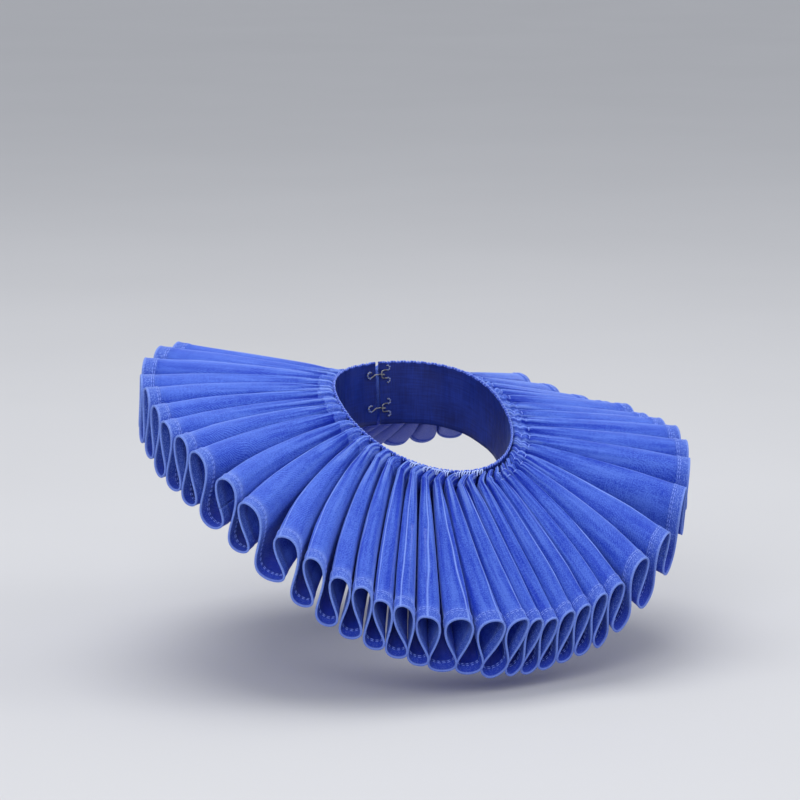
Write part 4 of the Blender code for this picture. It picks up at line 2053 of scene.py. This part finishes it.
@dataclass
class Studio:
    """Pale floor, soft lights and the camera."""

    floor_height: float = -0.172
    floor_half: float = 20.0
    lit_place: tuple = (0.0, 0.0, -0.03)
    room_colour: tuple = (0.9, 0.93, 1.0, 1.0)
    room_strength: float = 0.66
    scale_at_origin: float = 0.700 * MM
    azimuth: float = math.radians(32.0)
    elevation: float = math.radians(10.0)
    distance: float = 2.5
    sensor_width: float = 36.0
    frame_side: int = 800
    origin_pixel: tuple = (423.0, 406.0)

    def build_floor(self) -> None:
        """A wide floor, which isn't part of the collar."""
        half = self.floor_half
        corners = [(-half, -half), (half, -half), (half, half), (-half, half)]
        mesh = bpy.data.meshes.new("studio_floor")
        mesh.from_pydata([(x, y, self.floor_height) for x, y in corners], [], [(0, 1, 2, 3)])
        mesh.materials.append(FloorFinish().material())
        floor = add_object("studio_floor", mesh)

    def add_light(self, name: str, place: tuple, size: float, power: float) -> None:
        """A square soft light that points at the collar.

        Args:
            name: the light's name.
            place: where it stands.
            size: length of its side.
            power: its power, in watts.
        """
        light = bpy.data.lights.new(name, "AREA")
        light.shape = "SQUARE"
        light.size = size
        light.energy = power
        lamp = add_object(name, light)
        lamp.location = place
        lamp.rotation_mode = "QUATERNION"
        towards = Vector(self.lit_place) - Vector(place)
        lamp.rotation_quaternion = towards.to_track_quat("-Z", "Y")

    def build_lights(self) -> None:
        """A large light overhead, one at each side of the front and a dim room."""
        self.add_light("overhead", (0.0, 0.5, 2.3), 1.8, 30.0)
        self.add_light("key", (-1.5, -1.6, 1.3), 1.1, 19.0)
        self.add_light("fill", (1.7, -1.3, 1.1), 1.0, 8.0)
        world = bpy.data.worlds.new("studio_room")
        world.use_nodes = True
        room = world.node_tree.nodes["Background"]
        room.inputs["Color"].default_value = self.room_colour
        room.inputs["Strength"].default_value = self.room_strength
        bpy.context.scene.world = world

    def build_camera(self) -> None:
        """The camera, set from the scale at the collar and the view's two angles."""
        front, left, up = Vector((0, -1, 0)), Vector((1, 0, 0)), Vector((0, 0, 1))
        right = math.sin(self.azimuth) * front + math.cos(self.azimuth) * left
        level = math.cos(self.azimuth) * front - math.sin(self.azimuth) * left
        back = math.cos(self.elevation) * level + math.sin(self.elevation) * up
        above = back.cross(right)
        data = bpy.data.cameras.new("camera")
        data.sensor_width = self.sensor_width
        data.lens = self.sensor_width * self.distance / (self.scale_at_origin * self.frame_side)
        data.shift_x = (self.frame_side / 2 - self.origin_pixel[0]) / self.frame_side
        data.shift_y = (self.origin_pixel[1] - self.frame_side / 2) / self.frame_side
        data.clip_end = 100.0
        camera = add_object("camera", data)
        matrix = Matrix((right, above, back)).transposed().to_4x4()
        matrix.translation = back * self.distance
        camera.matrix_world = matrix
        bpy.context.scene.camera = camera

    def build(self) -> None:
        """The whole studio."""
        self.build_floor()
        self.build_lights()
        self.build_camera()
        bpy.context.scene.view_settings.view_transform = "Standard"
        LOG.info("studio: floor at %.0f mm", self.floor_height / MM)


def main() -> None:
    """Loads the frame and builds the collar's looks in order."""
    logging.basicConfig(level=logging.INFO, format="%(message)s")
    for item in list(bpy.data.objects):
        bpy.data.objects.remove(item)
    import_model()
    sizes = CollarSizes()
    form = PleatedForm(sizes)
    seamstress = Seamstress(ThreadFinish().material())
    band = NeckBand(sizes, form, RibbonFinish(), seamstress, SATIN_THREAD.material())
    band.build()
    frill = Frill(sizes, form, OrganzaFinish().material(sizes), seamstress)
    frill.build()
    band.sew(frill)
    Fastenings(sizes, form, WireFinish().material(), seamstress).build()
    Studio().build()


if __name__ == "__main__":
    main()
